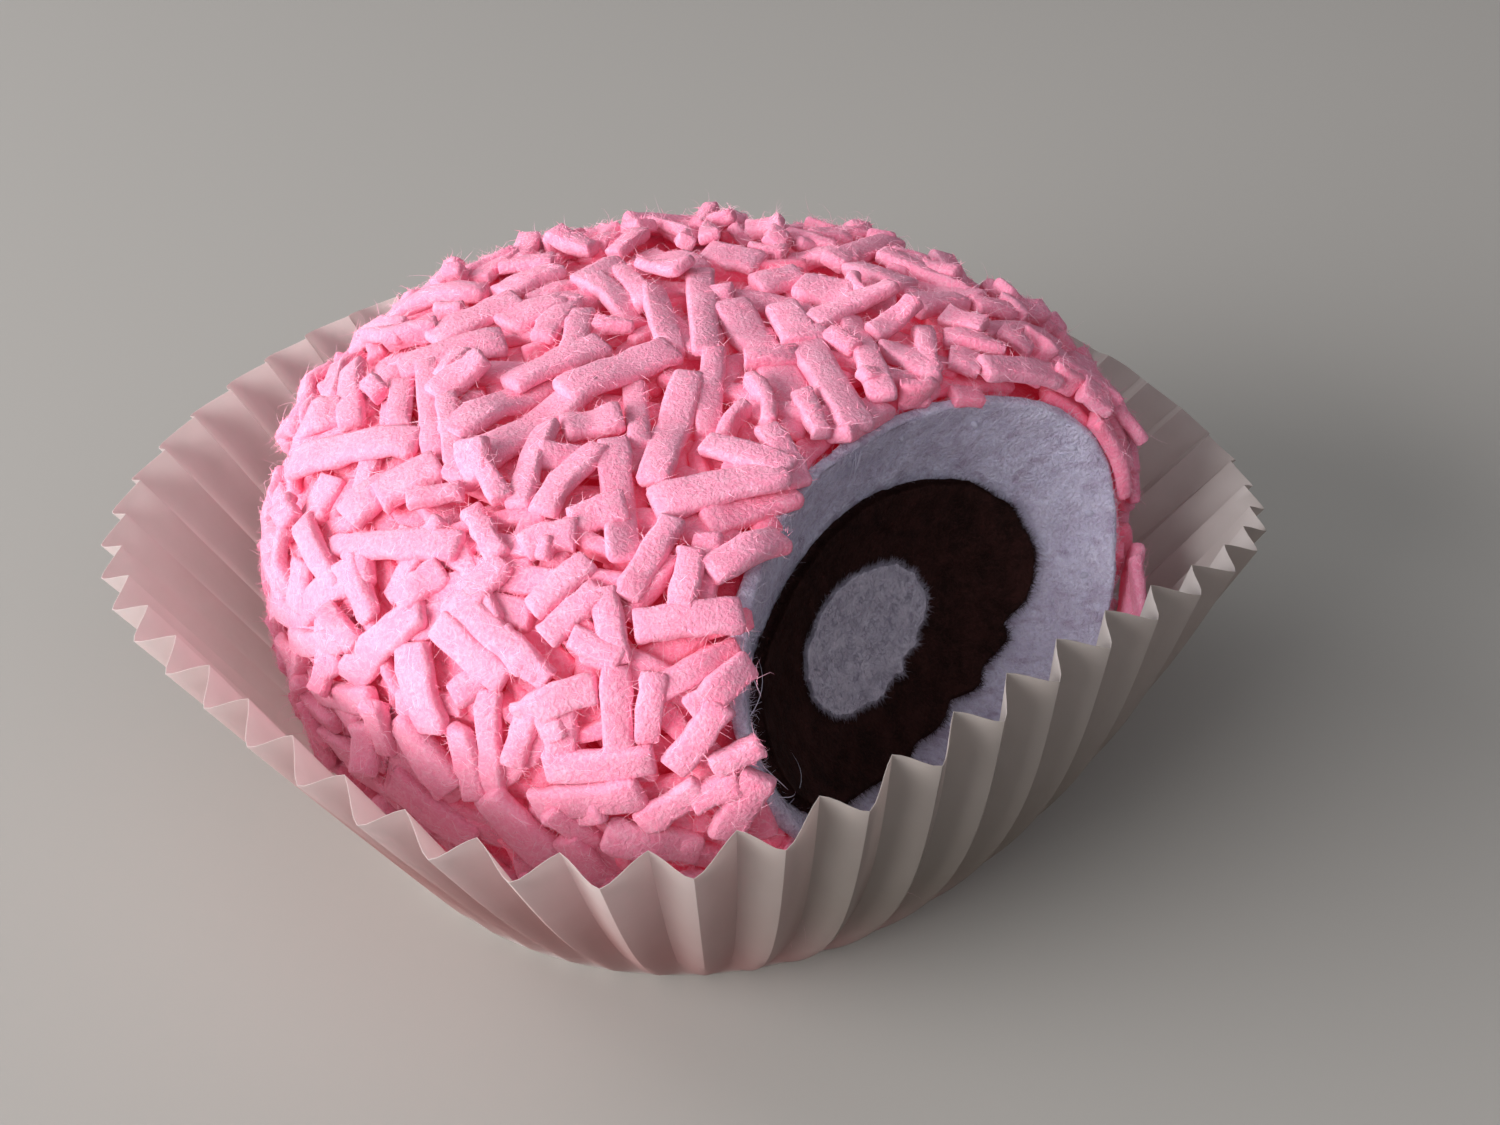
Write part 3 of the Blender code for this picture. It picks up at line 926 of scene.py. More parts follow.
# --- Paper cup ---
@dataclass
class PaperCup:
    """The pleated cup of thin white paper.

    Attributes:
        shape: its folded form.
        dome: the cake in it.
        bite: the bite in the cake.
        thickness: of the paper.
        steps_per_pleat: points across a pleat.
        rows: points up the wall.
        ridge_softness: 0 where outer ridges are sharp, 1 where they are round.
        valley_softness: the same for the valleys.
        show_through: gap beyond which no painted pink is put on the paper.
        inside_share: how much of that painted pink goes on the inner face.
        rim_light: how much lighter the dark side beside the bite is at its rim.
        bite_fade: how far beside the bite the painted pink gives way to the painted shade, in bowls.
        softest: direction in which the pleats are worn roundest.
        rim_waver: unevenness of the cut rim.
        buckle: depth of the small buckles.
        crease: angle from which a fold shows as a sharp line.
    """

    shape: CupShape
    dome: DomeShape
    bite: BiteShape
    thickness: float = 0.035 * MM
    steps_per_pleat: int = 10
    rows: int = 20
    ridge_softness: float = 0.6
    valley_softness: float = 0.35
    show_through: float = 11.0 * MM
    inside_share: float = 0.10
    rim_light: float = 0.6
    bite_fade: float = 0.75
    softest: float = math.radians(135.0)
    rim_waver: float = 0.22 * MM
    buckle: float = 0.16 * MM
    crease: float = math.radians(38.0)

    def side(self, fold: int, angle: float) -> float:
        """Return where a step of the fold lies, from +1 on a ridge to -1 in a valley.

        Args:
            fold: number of the step round the cup.
            angle: its direction; ridges at the back left are worn round.

        Returns:
            The place between ridge and valley.
        """
        phase = fold / self.steps_per_pleat % 1.0
        straight = 4.0 * abs(phase - 0.5) - 1.0
        softness = self.valley_softness if straight < 0.0 else self.ridge_softness
        folded = (1.0 - softness) * straight + softness * math.sin(0.5 * math.pi * straight)
        scalloped = 2.0 * abs(math.cos(math.pi * phase)) - 1.0
        worn = max(0.0, math.cos(angle - self.softest)) ** 2
        return folded + (scalloped - folded) * worn

    def build(self) -> Piece:
        """Fold the cup from a disc whose rim is drawn up row by row.

        Returns:
            The cup.
        """
        folds = self.shape.pleats * self.steps_per_pleat
        angles = [self.shape.first_ridge + math.tau * k / folds for k in range(folds)]
        sheet = bmesh.new()
        bmesh.ops.create_circle(sheet, cap_ends=True, segments=folds, radius=self.shape.base_radius)
        step = sheet.verts.layers.int.new("step")
        for k, vertex in enumerate(sheet.verts):
            vertex[step] = k
            vertex.co = Vector((math.cos(angles[k]), math.sin(angles[k]), 0.0)) * self.shape.base_radius
        edges = [edge for edge in sheet.edges if edge.is_boundary]
        bmesh.ops.poke(sheet, faces=sheet.faces[:])
        for row in range(1, self.rows + 1):
            share = row / self.rows
            drawn = bmesh.ops.extrude_edge_only(sheet, edges=edges)["geom"]
            edges = [item for item in drawn if isinstance(item, bmesh.types.BMEdge)]
            for vertex in (item for item in drawn if isinstance(item, bmesh.types.BMVert)):
                vertex.co = self.paper_point(angles[vertex[step]], vertex[step], share)
        bmesh.ops.recalc_face_normals(sheet, faces=sheet.faces[:])
        cup = finished_object("cup_paper", sheet, WHITE_PAPER.make())
        thicken(cup, self.thickness, 0.0)
        cup.data.shade_smooth()
        cup.data.set_sharp_from_angle(angle=self.crease)
        points = vertex_array(cup.data)
        feet, out = self.dome.feet(points)
        gap = np.sum((points - feet) * out, axis=1)
        normals = np.empty(points.size)
        cup.data.vertex_normals.foreach_get("vector", normals)
        outer = np.sum(normals.reshape(-1, 3)[:, :2] * points[:, :2], axis=1) > 0.0
        # Masks for the painted pink show-through and the painted shade beside the bite.
        painted_pink_mask = np.clip(1.0 - gap / self.show_through, 0.0, 1.0) * np.where(outer, 1.0, self.inside_share)
        beside_bite = np.clip(1.0 - (self.bite.depth(points, self.dome) - 1.0) / self.bite_fade, 0.0, 1.0)
        beside_bite *= beside_bite * (3.0 - 2.0 * beside_bite)
        wall = points[:, 2] > 1.0 * MM
        set_attribute(cup.data, "painted_pink_mask", painted_pink_mask * (1.0 - beside_bite) * wall)
        low = 1.0 - self.rim_light * np.clip(points[:, 2] / self.shape.wall_length, 0.0, 1.0)
        set_attribute(cup.data, "shaded", beside_bite * outer * low)
        return cup

    def paper_point(self, angle: float, step: int, share: float) -> Vector:
        """Place a point of the paper, with the small buckles of a used cup.

        Args:
            angle: direction at the base.
            step: number of the step round the cup.
            share: way up the wall, from 0 to 1.

        Returns:
            The point.
        """
        rim_places, buckle_places = 12.0, 14.0
        direction = Vector((math.cos(angle), math.sin(angle), 0.0))
        lift = noise.noise(direction * rim_places)
        stretch = share * (1.0 + self.rim_waver / self.shape.wall_length * lift)
        point = self.shape.wall_point(angle, stretch, self.side(step, angle))
        push = noise.noise(direction * buckle_places + Vector((0.0, 0.0, 2.2 * share)))
        out = Vector((point.x, point.y, 0.0)).normalized()
        return point - out * self.buckle * share * (0.5 + 0.5 * push)


# --- Felt strips ---
class Lie(Enum):
    """How a strip lies in the coat."""

    FLAT = "flat"
    ON_EDGE = "on_edge"
    ARCHED = "arched"
    LIFTED = "lifted"


@dataclass
class Strip:
    """One cut strip of felt, before it is laid.

    Attributes:
        seat: where its middle goes on the form.
        heading: its direction there, from east.
        width: across it.
        length: along it.
        thickness: of the felt.
        bend: how far it curves from end to end.
        lie: how it lies.
        tone: 0 for the clearest pink, 1 for the most mottled.
        lift: how far its middle or one end stands up; the sign picks the end.
        roll: its turn about its own length.
        twist: how much more one end is turned than the other.
    """

    seat: np.ndarray
    heading: float
    width: float
    length: float
    thickness: float
    bend: float
    lie: Lie
    tone: float
    lift: float
    roll: float
    twist: float


@dataclass(frozen=True)
class SeenStrip:
    """A strip that shows clearly from the camera, as it lies in the picture.

    Attributes:
        start: the middle of one end, in picture points from the top left.
        end: the middle of the other end.
        width: across the strip, in picture points.
        lie: how it lies.
        bend: how far it curves from end to end, in degrees.
    """

    start: tuple[int, int]
    end: tuple[int, int]
    width: int
    lie: Lie = Lie.FLAT
    bend: float = 0.0


# Read off the picture: both ends, the width, and how it lies where that is not flat.
SEEN_STRIPS = tuple(
    SeenStrip(*row)
    for row in (
        # Upper left.
        ((398, 372), (505, 338), 24), ((352, 365), (350, 425), 26), ((402, 380), (398, 428), 24),
        ((428, 362), (432, 455), 24), ((332, 400), (345, 345), 22),
        ((305, 432), (345, 410), 30, Lie.ARCHED, 60), ((446, 395), (458, 470), 24),
        ((290, 470), (420, 440), 32), ((300, 520), (325, 470), 26), ((345, 520), (395, 470), 26),
        ((378, 500), (440, 462), 28), ((448, 438), (552, 368), 28), ((452, 484), (592, 378), 30),
        # Top.
        ((500, 292), (560, 268), 26), ((505, 325), (560, 300), 26), ((430, 340), (520, 300), 26),
        ((515, 262), (535, 250), 22, Lie.LIFTED), ((580, 285), (625, 262), 26),
        ((572, 300), (540, 338), 26), ((582, 310), (566, 365), 26), ((590, 278), (636, 314), 26),
        ((620, 268), (648, 305), 24), ((640, 245), (700, 268), 26), ((705, 250), (760, 262), 26),
        ((755, 285), (800, 275), 22), ((700, 272), (706, 352), 30), ((652, 288), (672, 352), 28),
        ((508, 384), (604, 345), 26), ((560, 394), (674, 350), 30), ((798, 285), (852, 298), 26),
        ((852, 266), (910, 288), 26), ((940, 258), (975, 292), 26, Lie.LIFTED),
        ((912, 305), (962, 300), 26), ((948, 355), (980, 362), 24), ((985, 325), (1055, 342), 22),
        ((980, 368), (1058, 376), 22), ((1052, 385), (1062, 432), 22), ((888, 340), (932, 374), 26),
        ((922, 322), (930, 380), 22), ((848, 312), (884, 400), 28), ((728, 302), (808, 402), 38),
        ((780, 304), (858, 428), 38),
        # Middle.
        ((714, 348), (706, 424), 26), ((752, 376), (772, 424), 20, Lie.ON_EDGE, -50),
        ((744, 404), (720, 438), 20, Lie.ON_EDGE, 60), ((800, 392), (822, 436), 22),
        ((766, 428), (802, 480), 28), ((634, 374), (640, 444), 26), ((690, 374), (652, 480), 34),
        ((704, 442), (792, 472), 24), ((562, 426), (622, 414), 24), ((652, 502), (788, 474), 32),
        ((548, 424), (516, 508), 26), ((600, 446), (538, 514), 28, Lie.FLAT, 30),
        ((612, 440), (624, 562), 36), ((570, 522), (628, 506), 26),
        ((522, 548), (578, 534), 28, Lie.FLAT, -40), ((710, 574), (804, 514), 32),
        ((692, 552), (680, 612), 30), ((674, 520), (626, 598), 28), ((590, 560), (532, 612), 28),
        ((602, 588), (546, 640), 28),
        # Left middle and lower front.
        ((345, 548), (462, 546), 30), ((442, 566), (398, 606), 28), ((372, 564), (304, 612), 34),
        ((305, 560), (300, 610), 24), ((274, 560), (284, 615), 24), ((428, 606), (346, 682), 36),
        ((456, 598), (532, 668), 32), ((440, 622), (506, 682), 32), ((412, 640), (434, 734), 36),
        ((315, 690), (375, 702), 28), ((505, 560), (470, 600), 28), ((470, 510), (500, 560), 26),
        ((604, 588), (618, 668), 30), ((634, 626), (744, 614), 34), ((740, 644), (655, 692), 28),
        ((752, 660), (690, 716), 34), ((572, 636), (622, 662), 26), ((500, 632), (550, 682), 28),
        ((616, 664), (620, 760), 32), ((656, 670), (645, 744), 24), ((560, 705), (562, 760), 34),
        ((520, 716), (596, 684), 34, Lie.ARCHED, -30), ((534, 706), (512, 764), 26),
        ((545, 766), (656, 760), 32), ((724, 702), (672, 770), 32), ((712, 766), (768, 742), 24),
        ((398, 716), (452, 792), 34), ((490, 686), (492, 800), 24), ((460, 724), (478, 798), 24),
        ((534, 802), (644, 790), 34), ((604, 832), (702, 858), 28), ((640, 824), (704, 784), 28),
        ((690, 800), (740, 780), 26), ((318, 742), (398, 800), 28), ((392, 776), (476, 842), 30),
        ((486, 792), (552, 858), 30), ((566, 836), (604, 880), 28), ((560, 740), (545, 706), 26),
        ((300, 520), (340, 590), 24), ((372, 620), (350, 560), 26),
    )
)


@dataclass
class LaidStrip:
    """A strip as it lies in the coat, at stations along it.

    Attributes:
        line: its middle line.
        sides: the directions across it.
        faces: the directions out of its face.
        heights: how high its underside is in the coat, as a share of the highest.
        strip: what was cut.
    """

    line: np.ndarray
    sides: np.ndarray
    faces: np.ndarray
    heights: np.ndarray
    strip: Strip


@dataclass(frozen=True)
class Layer:
    """How one layer of the coat is strewn.

    Attributes:
        count: how many strips.
        ceiling: height that the strips are pressed down to.
        looseness: 1 where strips lie as they fall, towards 0 where all lie flat.
        choices: how many seats each strip chooses the lowest of.
        lengths: shortest and longest strip.
        tucked: how many of a strip's stations may lie over the front strips.
    """

    count: int
    ceiling: float
    looseness: float
    choices: int
    lengths: tuple = (5.0 * MM, 10.5 * MM)
    tucked: int = 1


# Chances for how a random strip lies, added up; the rest lie flat.
LIE_CHANCES = ((0.14, Lie.ON_EDGE), (0.24, Lie.ARCHED), (0.55, Lie.LIFTED))
# Each layer's piece, with the steps in its softened edges and its bending places.
STRIP_PIECES = (("under", 1, 4), ("middle", 2, 5), ("over", 2, 6), ("scraps", 2, 3))


@dataclass
class FeltCoat:
    """Strips of felt strewn on the cake, each draped over those below it.

    Attributes:
        dome: the cake's outer form.
        bite: the bite in it.
        cup: the cup round it.
        view: the photograph's view.
        layers: the coat's layers, lowest first; the front strips open the third.
        seat_count: places to choose from.
        seed: of the random numbers.
        base_inset: how far the felt body lies inside the outer form.
        rim_fill: height from which the coat starts beside the bite.
        rim_band: how wide that is.
        widths: narrowest and widest random strip.
        seen_widths: the same for the front strips.
        thicknesses: of the felt.
        stations: points along a strip.
        sink: how far a strip presses into those below.
        drape_radius: of a strip's tightest fold over another.
        highest: height in the coat that counts as 1.
        lift: least and most.
        lowest_seat: height over the cup's underside.
        cell: size of the cells that record the coat's height.
        guard: size of the cells that keep the front strips free.
        overhang: how far strips hang over the bite's left rim.
        rolling: spread of the strips' roll.
        twisting: spread of their twist.
        air: room that the cup's paper keeps from a strip.
        tops: height of the coat in each cell.
        laid: the strips, in the order they were laid.
        taken: cells that the front strips keep free.
        starts: number of each layer's first strip, then the number of all.
    """

    dome: DomeShape
    bite: BiteShape
    cup: CupShape
    view: View
    layers: tuple = (
        Layer(600, 1.45 * MM, 0.2, 30),
        Layer(280, 2.4 * MM, 1.0, 14),
        Layer(340, 3.3 * MM, 1.0, 14),
        Layer(400, 3.5 * MM, 1.0, 20, (2.4 * MM, 5.2 * MM), 3),
    )
    seat_count: int = 7000
    seed: int = 11
    base_inset: float = 2.9 * MM
    rim_fill: float = 1.1 * MM
    rim_band: float = 2.5 * MM
    widths: tuple = (1.5 * MM, 2.5 * MM)
    seen_widths: tuple = (1.7 * MM, 3.2 * MM)
    thicknesses: tuple = (1.0 * MM, 1.3 * MM)
    stations: int = 9
    sink: float = 0.35 * MM
    drape_radius: float = 6.5 * MM
    highest: float = 2.75 * MM
    lift: tuple = (0.5 * MM, 1.6 * MM)
    lowest_seat: float = 5.0 * MM
    cell: float = 0.6 * MM
    guard: float = 1.2 * MM
    overhang: float = 0.8 * MM
    rolling: float = math.radians(13.0)
    twisting: float = math.radians(20.0)
    air: float = 0.15 * MM
    tops: dict = field(default_factory=dict)
    laid: list = field(default_factory=list)
    taken: set = field(default_factory=set)
    starts: list = field(default_factory=list)

    def seats(self) -> np.ndarray:
        """Spread seats evenly on the form, by the golden angle, outside the bite.

        Returns:
            The seats.
        """
        low = math.asin((self.lowest_seat - self.dome.widest) / self.dome.underside)
        turns = np.linspace(low, math.radians(89.9), 4000)
        radius, height = self.dome.profile(turns)
        bands = 0.5 * (radius[1:] + radius[:-1]) * np.hypot(np.diff(radius), np.diff(height))
        areas = np.concatenate(([0.0], np.cumsum(bands)))
        index = np.arange(self.seat_count)
        azimuth = index * math.pi * (3.0 - math.sqrt(5.0))
        turn = np.interp(areas[-1] * (index + 0.5) / self.seat_count, areas, turns)
        radius, height = self.dome.profile(turn)
        x = self.dome.centre_x + radius * np.cos(azimuth)
        y = self.dome.centre_y + radius * np.sin(azimuth)
        seats = np.column_stack((x, y, height))
        return seats[~self.bite.inner(seats, self.dome, 0.8 * MM)]

    def cells(self, points: np.ndarray) -> list[tuple[int, int, int]]:
        """Return the cell of the form that each point stands over."""
        feet, _ = self.dome.feet(points)
        return [tuple(cell) for cell in np.rint(feet / self.cell).astype(int)]

    def cover(self, cell: tuple[int, int, int]) -> float:
        """Measure how high the coat already is round a cell.

        Args:
            cell: the cell.

        Returns:
            The mean height of it and its neighbours.
        """
        x, y, z = cell
        near = ((x, y, z), (x + 2, y, z), (x - 2, y, z), (x, y + 2, z), (x, y - 2, z))
        near += ((x, y, z + 2), (x, y, z - 2))
        heights = [self.tops[place] for place in near if place in self.tops]
        return sum(heights) / len(heights) if heights else 0.0

    def draw_strip(self, seat: np.ndarray, draw: random.Random, layer: Layer) -> Strip:
        """Cut a strip at random.

        Args:
            seat: where its middle goes.
            draw: the random numbers.
            layer: the layer it is for.

        Returns:
            The strip.
        """
        chance = draw.random() / layer.looseness
        lie = Lie.FLAT
        for limit, kind in LIE_CHANCES:
            if chance < limit:
                lie = kind
                break
        bend = math.radians(draw.gauss(0.0, 9.0))
        if lie is Lie.ON_EDGE:
            bend = math.radians(draw.choice((-1.0, 1.0)) * draw.uniform(0.0, 130.0))
        return Strip(
            seat=seat,
            heading=draw.uniform(0.0, math.pi),
            width=draw.uniform(*self.widths),
            length=draw.uniform(*layer.lengths),
            thickness=draw.uniform(*self.thicknesses),
            bend=bend,
            lie=lie,
            tone=draw.random(),
            lift=draw.uniform(*self.lift) * draw.choice((-1.0, 1.0)),
            roll=draw.gauss(0.0, self.rolling) * layer.looseness,
            twist=draw.gauss(0.0, self.twisting) * layer.looseness,
        )

    def path(self, strip: Strip) -> tuple[np.ndarray, np.ndarray]:
        """Return a strip's middle line on the form, with the outward directions.

        Args:
            strip: the strip.

        Returns:
            Points on the outer form and the directions out of it.
        """
        _, out = self.dome.feet(strip.seat[None, :])
        out = out[0]
        east = unit(np.cross((0.0, 0.0, 1.0), out) + (1e-6, 0.0, 0.0))
        north = np.cross(out, east)
        run = np.linspace(-0.5, 0.5, self.stations)
        angle = strip.heading + strip.bend * run
        step = strip.length / (self.stations - 1)
        across = np.concatenate(([0.0], np.cumsum(0.5 * (np.cos(angle[1:]) + np.cos(angle[:-1])) * step)))
        along = np.concatenate(([0.0], np.cumsum(0.5 * (np.sin(angle[1:]) + np.sin(angle[:-1])) * step)))
        across -= across.mean()
        along -= along.mean()
        points = strip.seat + np.outer(across, east) + np.outer(along, north)
        return self.dome.feet(points)

    def trim_to_bite(self, strip: Strip, margin: float) -> bool:
        """Shorten a strip so that it ends at the bite's rim, or just over it on the left.

        Args:
            strip: the strip, whose length and seat change.
            margin: how far outside the lining's face it ends.

        Returns:
            Whether enough of it is left.
        """
        local = self.bite.matrix(self.dome).inverted() @ Vector(strip.seat)
        margin -= self.overhang * min(1.0, max(0.0, -2.0 * local.x / self.bite.radii[0]))
        feet, out = self.path(strip)
        clear = ~self.bite.inner(feet - out * 1.0 * MM, self.dome, margin)
        if clear.all():
            return True
        runs = np.flatnonzero(clear)
        if len(runs) < 4 or runs[-1] - runs[0] != len(runs) - 1:
            return False
        share = len(runs) / self.stations
        strip.seat = feet[runs].mean(axis=0)
        strip.length *= share
        strip.bend *= share
        feet, out = self.path(strip)
        return bool((~self.bite.inner(feet - out * 1.0 * MM, self.dome, margin - 0.5 * MM)).all())

    def lay(self, strip: Strip, layer: Layer) -> None:
        """Drape a strip over the coat and raise the coat under it.

        Args:
            strip: the strip.
            layer: the layer it is in.
        """
        feet, out = self.path(strip)
        forward = unit(np.gradient(feet, axis=0))
        side = unit(np.cross(out, forward))
        standing = strip.lie is Lie.ON_EDGE
        reach = 0.5 * (strip.thickness if standing else strip.width)
        tall = strip.width * 0.8 if standing else strip.thickness
        rails = [feet + side * reach * share for share in (-0.85, 0.0, 0.85)]
        under = np.array([[self.tops.get(cell, 0.0) for cell in self.cells(rail)] for rail in rails])
        floor = under.max(axis=0)
        run = np.linspace(-0.5, 0.5, self.stations) * strip.length
        drape = (run[:, None] - run[None, :]) ** 2 / (2.0 * self.drape_radius)
        bottom = np.maximum(0.0, (floor[None, :] - drape).max(axis=1) - self.sink)
        bottom -= np.maximum(0.0, bottom + tall - layer.ceiling) * 0.85
        share = run / strip.length
        if strip.lie is Lie.ARCHED:
            bottom += 0.6 * abs(strip.lift) * np.cos(math.pi * share) ** 2
        if strip.lie is Lie.LIFTED:
            bottom += abs(strip.lift) * np.clip(0.5 + share * np.sign(strip.lift), 0.0, 1.0) ** 2
        middle = feet + out * (bottom + 0.5 * tall - self.base_inset)[:, None]
        middle = self.press_by_cup(middle, 0.5 * tall + self.air)
        for rail in rails:
            for cell, top in zip(self.cells(rail), bottom + tall):
                self.tops[cell] = max(self.tops.get(cell, 0.0), top)
        forward = unit(np.gradient(middle, axis=0))
        side = unit(np.cross(out, forward))
        face = np.cross(forward, side)
        turn = (strip.roll + strip.twist * share)[:, None]
        side, face = side * np.cos(turn) + face * np.sin(turn), face * np.cos(turn) - side * np.sin(turn)
        if standing:
            side, face = face, -side
        self.laid.append(LaidStrip(middle, side, face, bottom / self.highest, strip))

    def press_by_cup(self, middle: np.ndarray, half: float) -> np.ndarray:
        """Push a middle line inwards where the cup's wall presses on it.

        Args:
            middle: the line.
            half: half the strip's height, with the air.

        Returns:
            The pressed line.
        """
        pressed = middle.copy()
        for k, point in enumerate(middle):
            out = math.hypot(point[0], point[1])
            room = self.cup.room(point) - half
            if out > room:
                pressed[k, :2] *= room / out
        return pressed

    def turn_along_rim(self, strip: Strip, draw: random.Random) -> None:
        """Turn a strip beside the bite so that it runs along the rim, mostly on the right.

        Args:
            strip: the strip, whose heading may change.
            draw: the random numbers.
        """
        if not self.bite.inner(strip.seat[None, :], self.dome, 4.5 * MM)[0]:
            return
        local = self.bite.matrix(self.dome).inverted() @ Vector(strip.seat)
        if draw.random() > (0.85 if local.x > 0.0 else 0.3):
            return
        _, out = self.dome.feet(strip.seat[None, :])
        east = unit(np.cross((0.0, 0.0, 1.0), out[0]) + (1e-6, 0.0, 0.0))
        north = np.cross(out[0], east)
        rim = Vector((-local.y / self.bite.radii[1] ** 2, local.x / self.bite.radii[0] ** 2, 0.0))
        rim = np.array(self.bite.matrix(self.dome).to_3x3() @ rim)
        strip.heading = math.atan2(rim @ north, rim @ east) + math.radians(draw.uniform(-22.0, 22.0))

    def guard_cells(self, points: np.ndarray) -> list[tuple[int, int, int]]:
        """Return the coarse cells round points of the form."""
        return [tuple(cell) for cell in np.rint(points / self.guard).astype(int)]

    def covers_front(self, strip: Strip, allowed: int) -> bool:
        """Tell whether a strip would hide one of those that show from the front.

        Args:
            strip: the strip.
            allowed: how many of its stations may lie over them.

        Returns:
            Whether more of it would.
        """
        feet, _ = self.path(strip)
        return sum(cell in self.taken for cell in self.guard_cells(feet)) > allowed

    def seen_place(self, point: tuple[int, int]) -> np.ndarray:
        """Find the place on the form that a picture point shows.

        Args:
            point: the picture point.

        Returns:
            The place, or the nearest to the line of sight where that misses the form.
        """
        nearest, farthest, count = 110.0 * MM, 215.0 * MM, 400
        steps = np.linspace(nearest, farthest, count)
        sight = np.array(self.view.place) + steps[:, None] * self.view.ray(point)
        feet, out = self.dome.feet(sight)
        gaps = np.sum((sight - feet) * out, axis=1)
        reached = np.flatnonzero(gaps < 0.0)
        return feet[reached[0] if len(reached) else np.argmin(gaps)]

    def place_front(self, draw: random.Random, layer: Layer) -> None:
        """Lay the strips that show clearly from the front, and keep their places.

        Args:
            draw: the random numbers.
            layer: the layer they are in.
        """
        for seen in SEEN_STRIPS:
            start, end = self.seen_place(seen.start), self.seen_place(seen.end)
            seat, out = (rows[0] for rows in self.dome.feet(0.5 * (start + end)[None, :]))
            east = unit(np.cross((0.0, 0.0, 1.0), out))
            run = end - start
            side = unit(np.cross(out, run))
            width = seen.width / self.view.points_per_metre(seat, side)
            strip = Strip(
                seat=seat,
                heading=math.atan2(run @ np.cross(out, east), run @ east),
                width=min(self.seen_widths[1], max(self.seen_widths[0], width)),
                length=float(np.linalg.norm(run)),
                thickness=draw.uniform(*self.thicknesses),
                bend=math.radians(seen.bend),
                lie=seen.lie,
                tone=0.5 * draw.random(),
                lift=draw.uniform(*self.lift) * draw.choice((-1.0, 1.0)),
                roll=draw.gauss(0.0, 0.5 * self.rolling),
                twist=draw.gauss(0.0, self.twisting),
            )
            if not self.trim_to_bite(strip, 0.2 * MM):
                continue
            self.lay(strip, layer)
            feet, out = self.path(strip)
            side = unit(np.cross(out, np.gradient(feet, axis=0)))
            for share in (-0.5, -0.17, 0.17, 0.5):
                self.taken.update(self.guard_cells(feet + side * share * strip.width))

    def strew(self) -> None:
        """Cut and lay all the strips, lowest places first."""
        draw = random.Random(self.seed)
        seats = self.seats()
        cells = self.cells(seats)
        rim = self.bite.inner(seats, self.dome, self.rim_band)
        for cell, beside in zip(cells, rim):
            self.tops[cell] = self.rim_fill if beside else 0.0
        for number, layer in enumerate(self.layers):
            self.starts.append(len(self.laid))
            if number == 2:
                self.place_front(draw, layer)
            for _ in range(layer.count):
                few = draw.sample(range(len(seats)), layer.choices)
                pick = min(few, key=lambda k: self.cover(cells[k]))
                strip = self.draw_strip(seats[pick], draw, layer)
                self.turn_along_rim(strip, draw)
                fits = self.trim_to_bite(strip, draw.uniform(0.0, 0.6) * MM)
                if fits and not self.covers_front(strip, layer.tucked):
                    self.lay(strip, layer)
                else:
                    self.tops[cells[pick]] += 0.3 * MM
        self.starts.append(len(self.laid))

    def template(self, rounding: int, cuts: int) -> bpy.types.Mesh:
        """Cut the pattern for all strips: a bar with softened edges, one unit each way.

        Args:
            rounding: steps in the softened edges.
            cuts: places along it where it can bend.

        Returns:
            The pattern, whose x runs along the strip.
        """
        length, width, thickness = 9.0, 2.6, 1.2
        bar = bmesh.new()
        bmesh.ops.create_cube(bar, size=1.0)
        bmesh.ops.scale(bar, vec=(length, width, thickness), verts=bar.verts[:])
        long_edges = [edge for edge in bar.edges if edge.calc_length() > 0.9 * length]
        bmesh.ops.subdivide_edges(bar, edges=long_edges, cuts=cuts)
        rims = [edge for edge in bar.edges if edge.calc_face_angle(0.0) > 1.0]
        bmesh.ops.bevel(
            bar,
            geom=rims,
            offset=0.42,
            segments=rounding,
            profile=0.5,
            affect="EDGES",
            material=-1,
            clamp_overlap=True,
        )
        bmesh.ops.scale(bar, vec=(1.0 / length, 1.0 / width, 1.0 / thickness), verts=bar.verts[:])
        mesh = bpy.data.meshes.new("strip_pattern")
        bar.to_mesh(mesh)
        bar.free()
        return mesh

    def dress(self, name: str, strips: list[LaidStrip], rounding: int, cuts: int) -> Piece:
        """Make one piece of many strips.

        Args:
            name: the piece's name.
            strips: the laid strips.
            rounding: steps in their softened edges.
            cuts: places along each where it can bend.

        Returns:
            The piece.
        """
        pattern = self.template(rounding, cuts)
        unit_points = vertex_array(pattern)
        piece = copies(pattern, len(strips), name)
        run = np.clip(unit_points[:, 0] + 0.5, 0.0, 1.0) * (self.stations - 1)
        low = np.minimum(run.astype(int), self.stations - 2)
        share = (run - low)[:, None]
        points, tones, heights = [], [], []
        for number, laid in enumerate(strips):
            along = (laid.line, laid.sides, laid.faces)
            line, side, face = (rows[low] * (1.0 - share) + rows[low + 1] * share for rows in along)
            strip = laid.strip
            waver = np.array([noise.noise(Vector((2.1 * u, 7.3 * number, 0.0))) for u in run])
            width = strip.width * (1.0 + 0.16 * waver)
            place = line + side * (unit_points[:, 1] * width)[:, None]
            place += face * (unit_points[:, 2] * strip.thickness)[:, None]
            lumps = np.array([noise.noise_vector(Vector(point) / LUMP_SIZE) for point in place])
            points.append(self.press_by_cup(place + lumps * LUMP_HEIGHT, 0.05 * MM))
            tones.append(np.full(len(place), strip.tone))
            bottom = laid.heights[low] * (1.0 - share[:, 0]) + laid.heights[low + 1] * share[:, 0]
            heights.append(bottom + (unit_points[:, 2] + 0.5) * strip.thickness / self.highest)
        piece.data.vertices.foreach_set("co", np.concatenate(points).ravel())
        set_attribute(piece.data, "tone", np.concatenate(tones))
        set_attribute(piece.data, "height", np.concatenate(heights))
        piece.data.materials.append(PINK_FELT.make())
        piece.data.shade_smooth()
        piece.data.update()
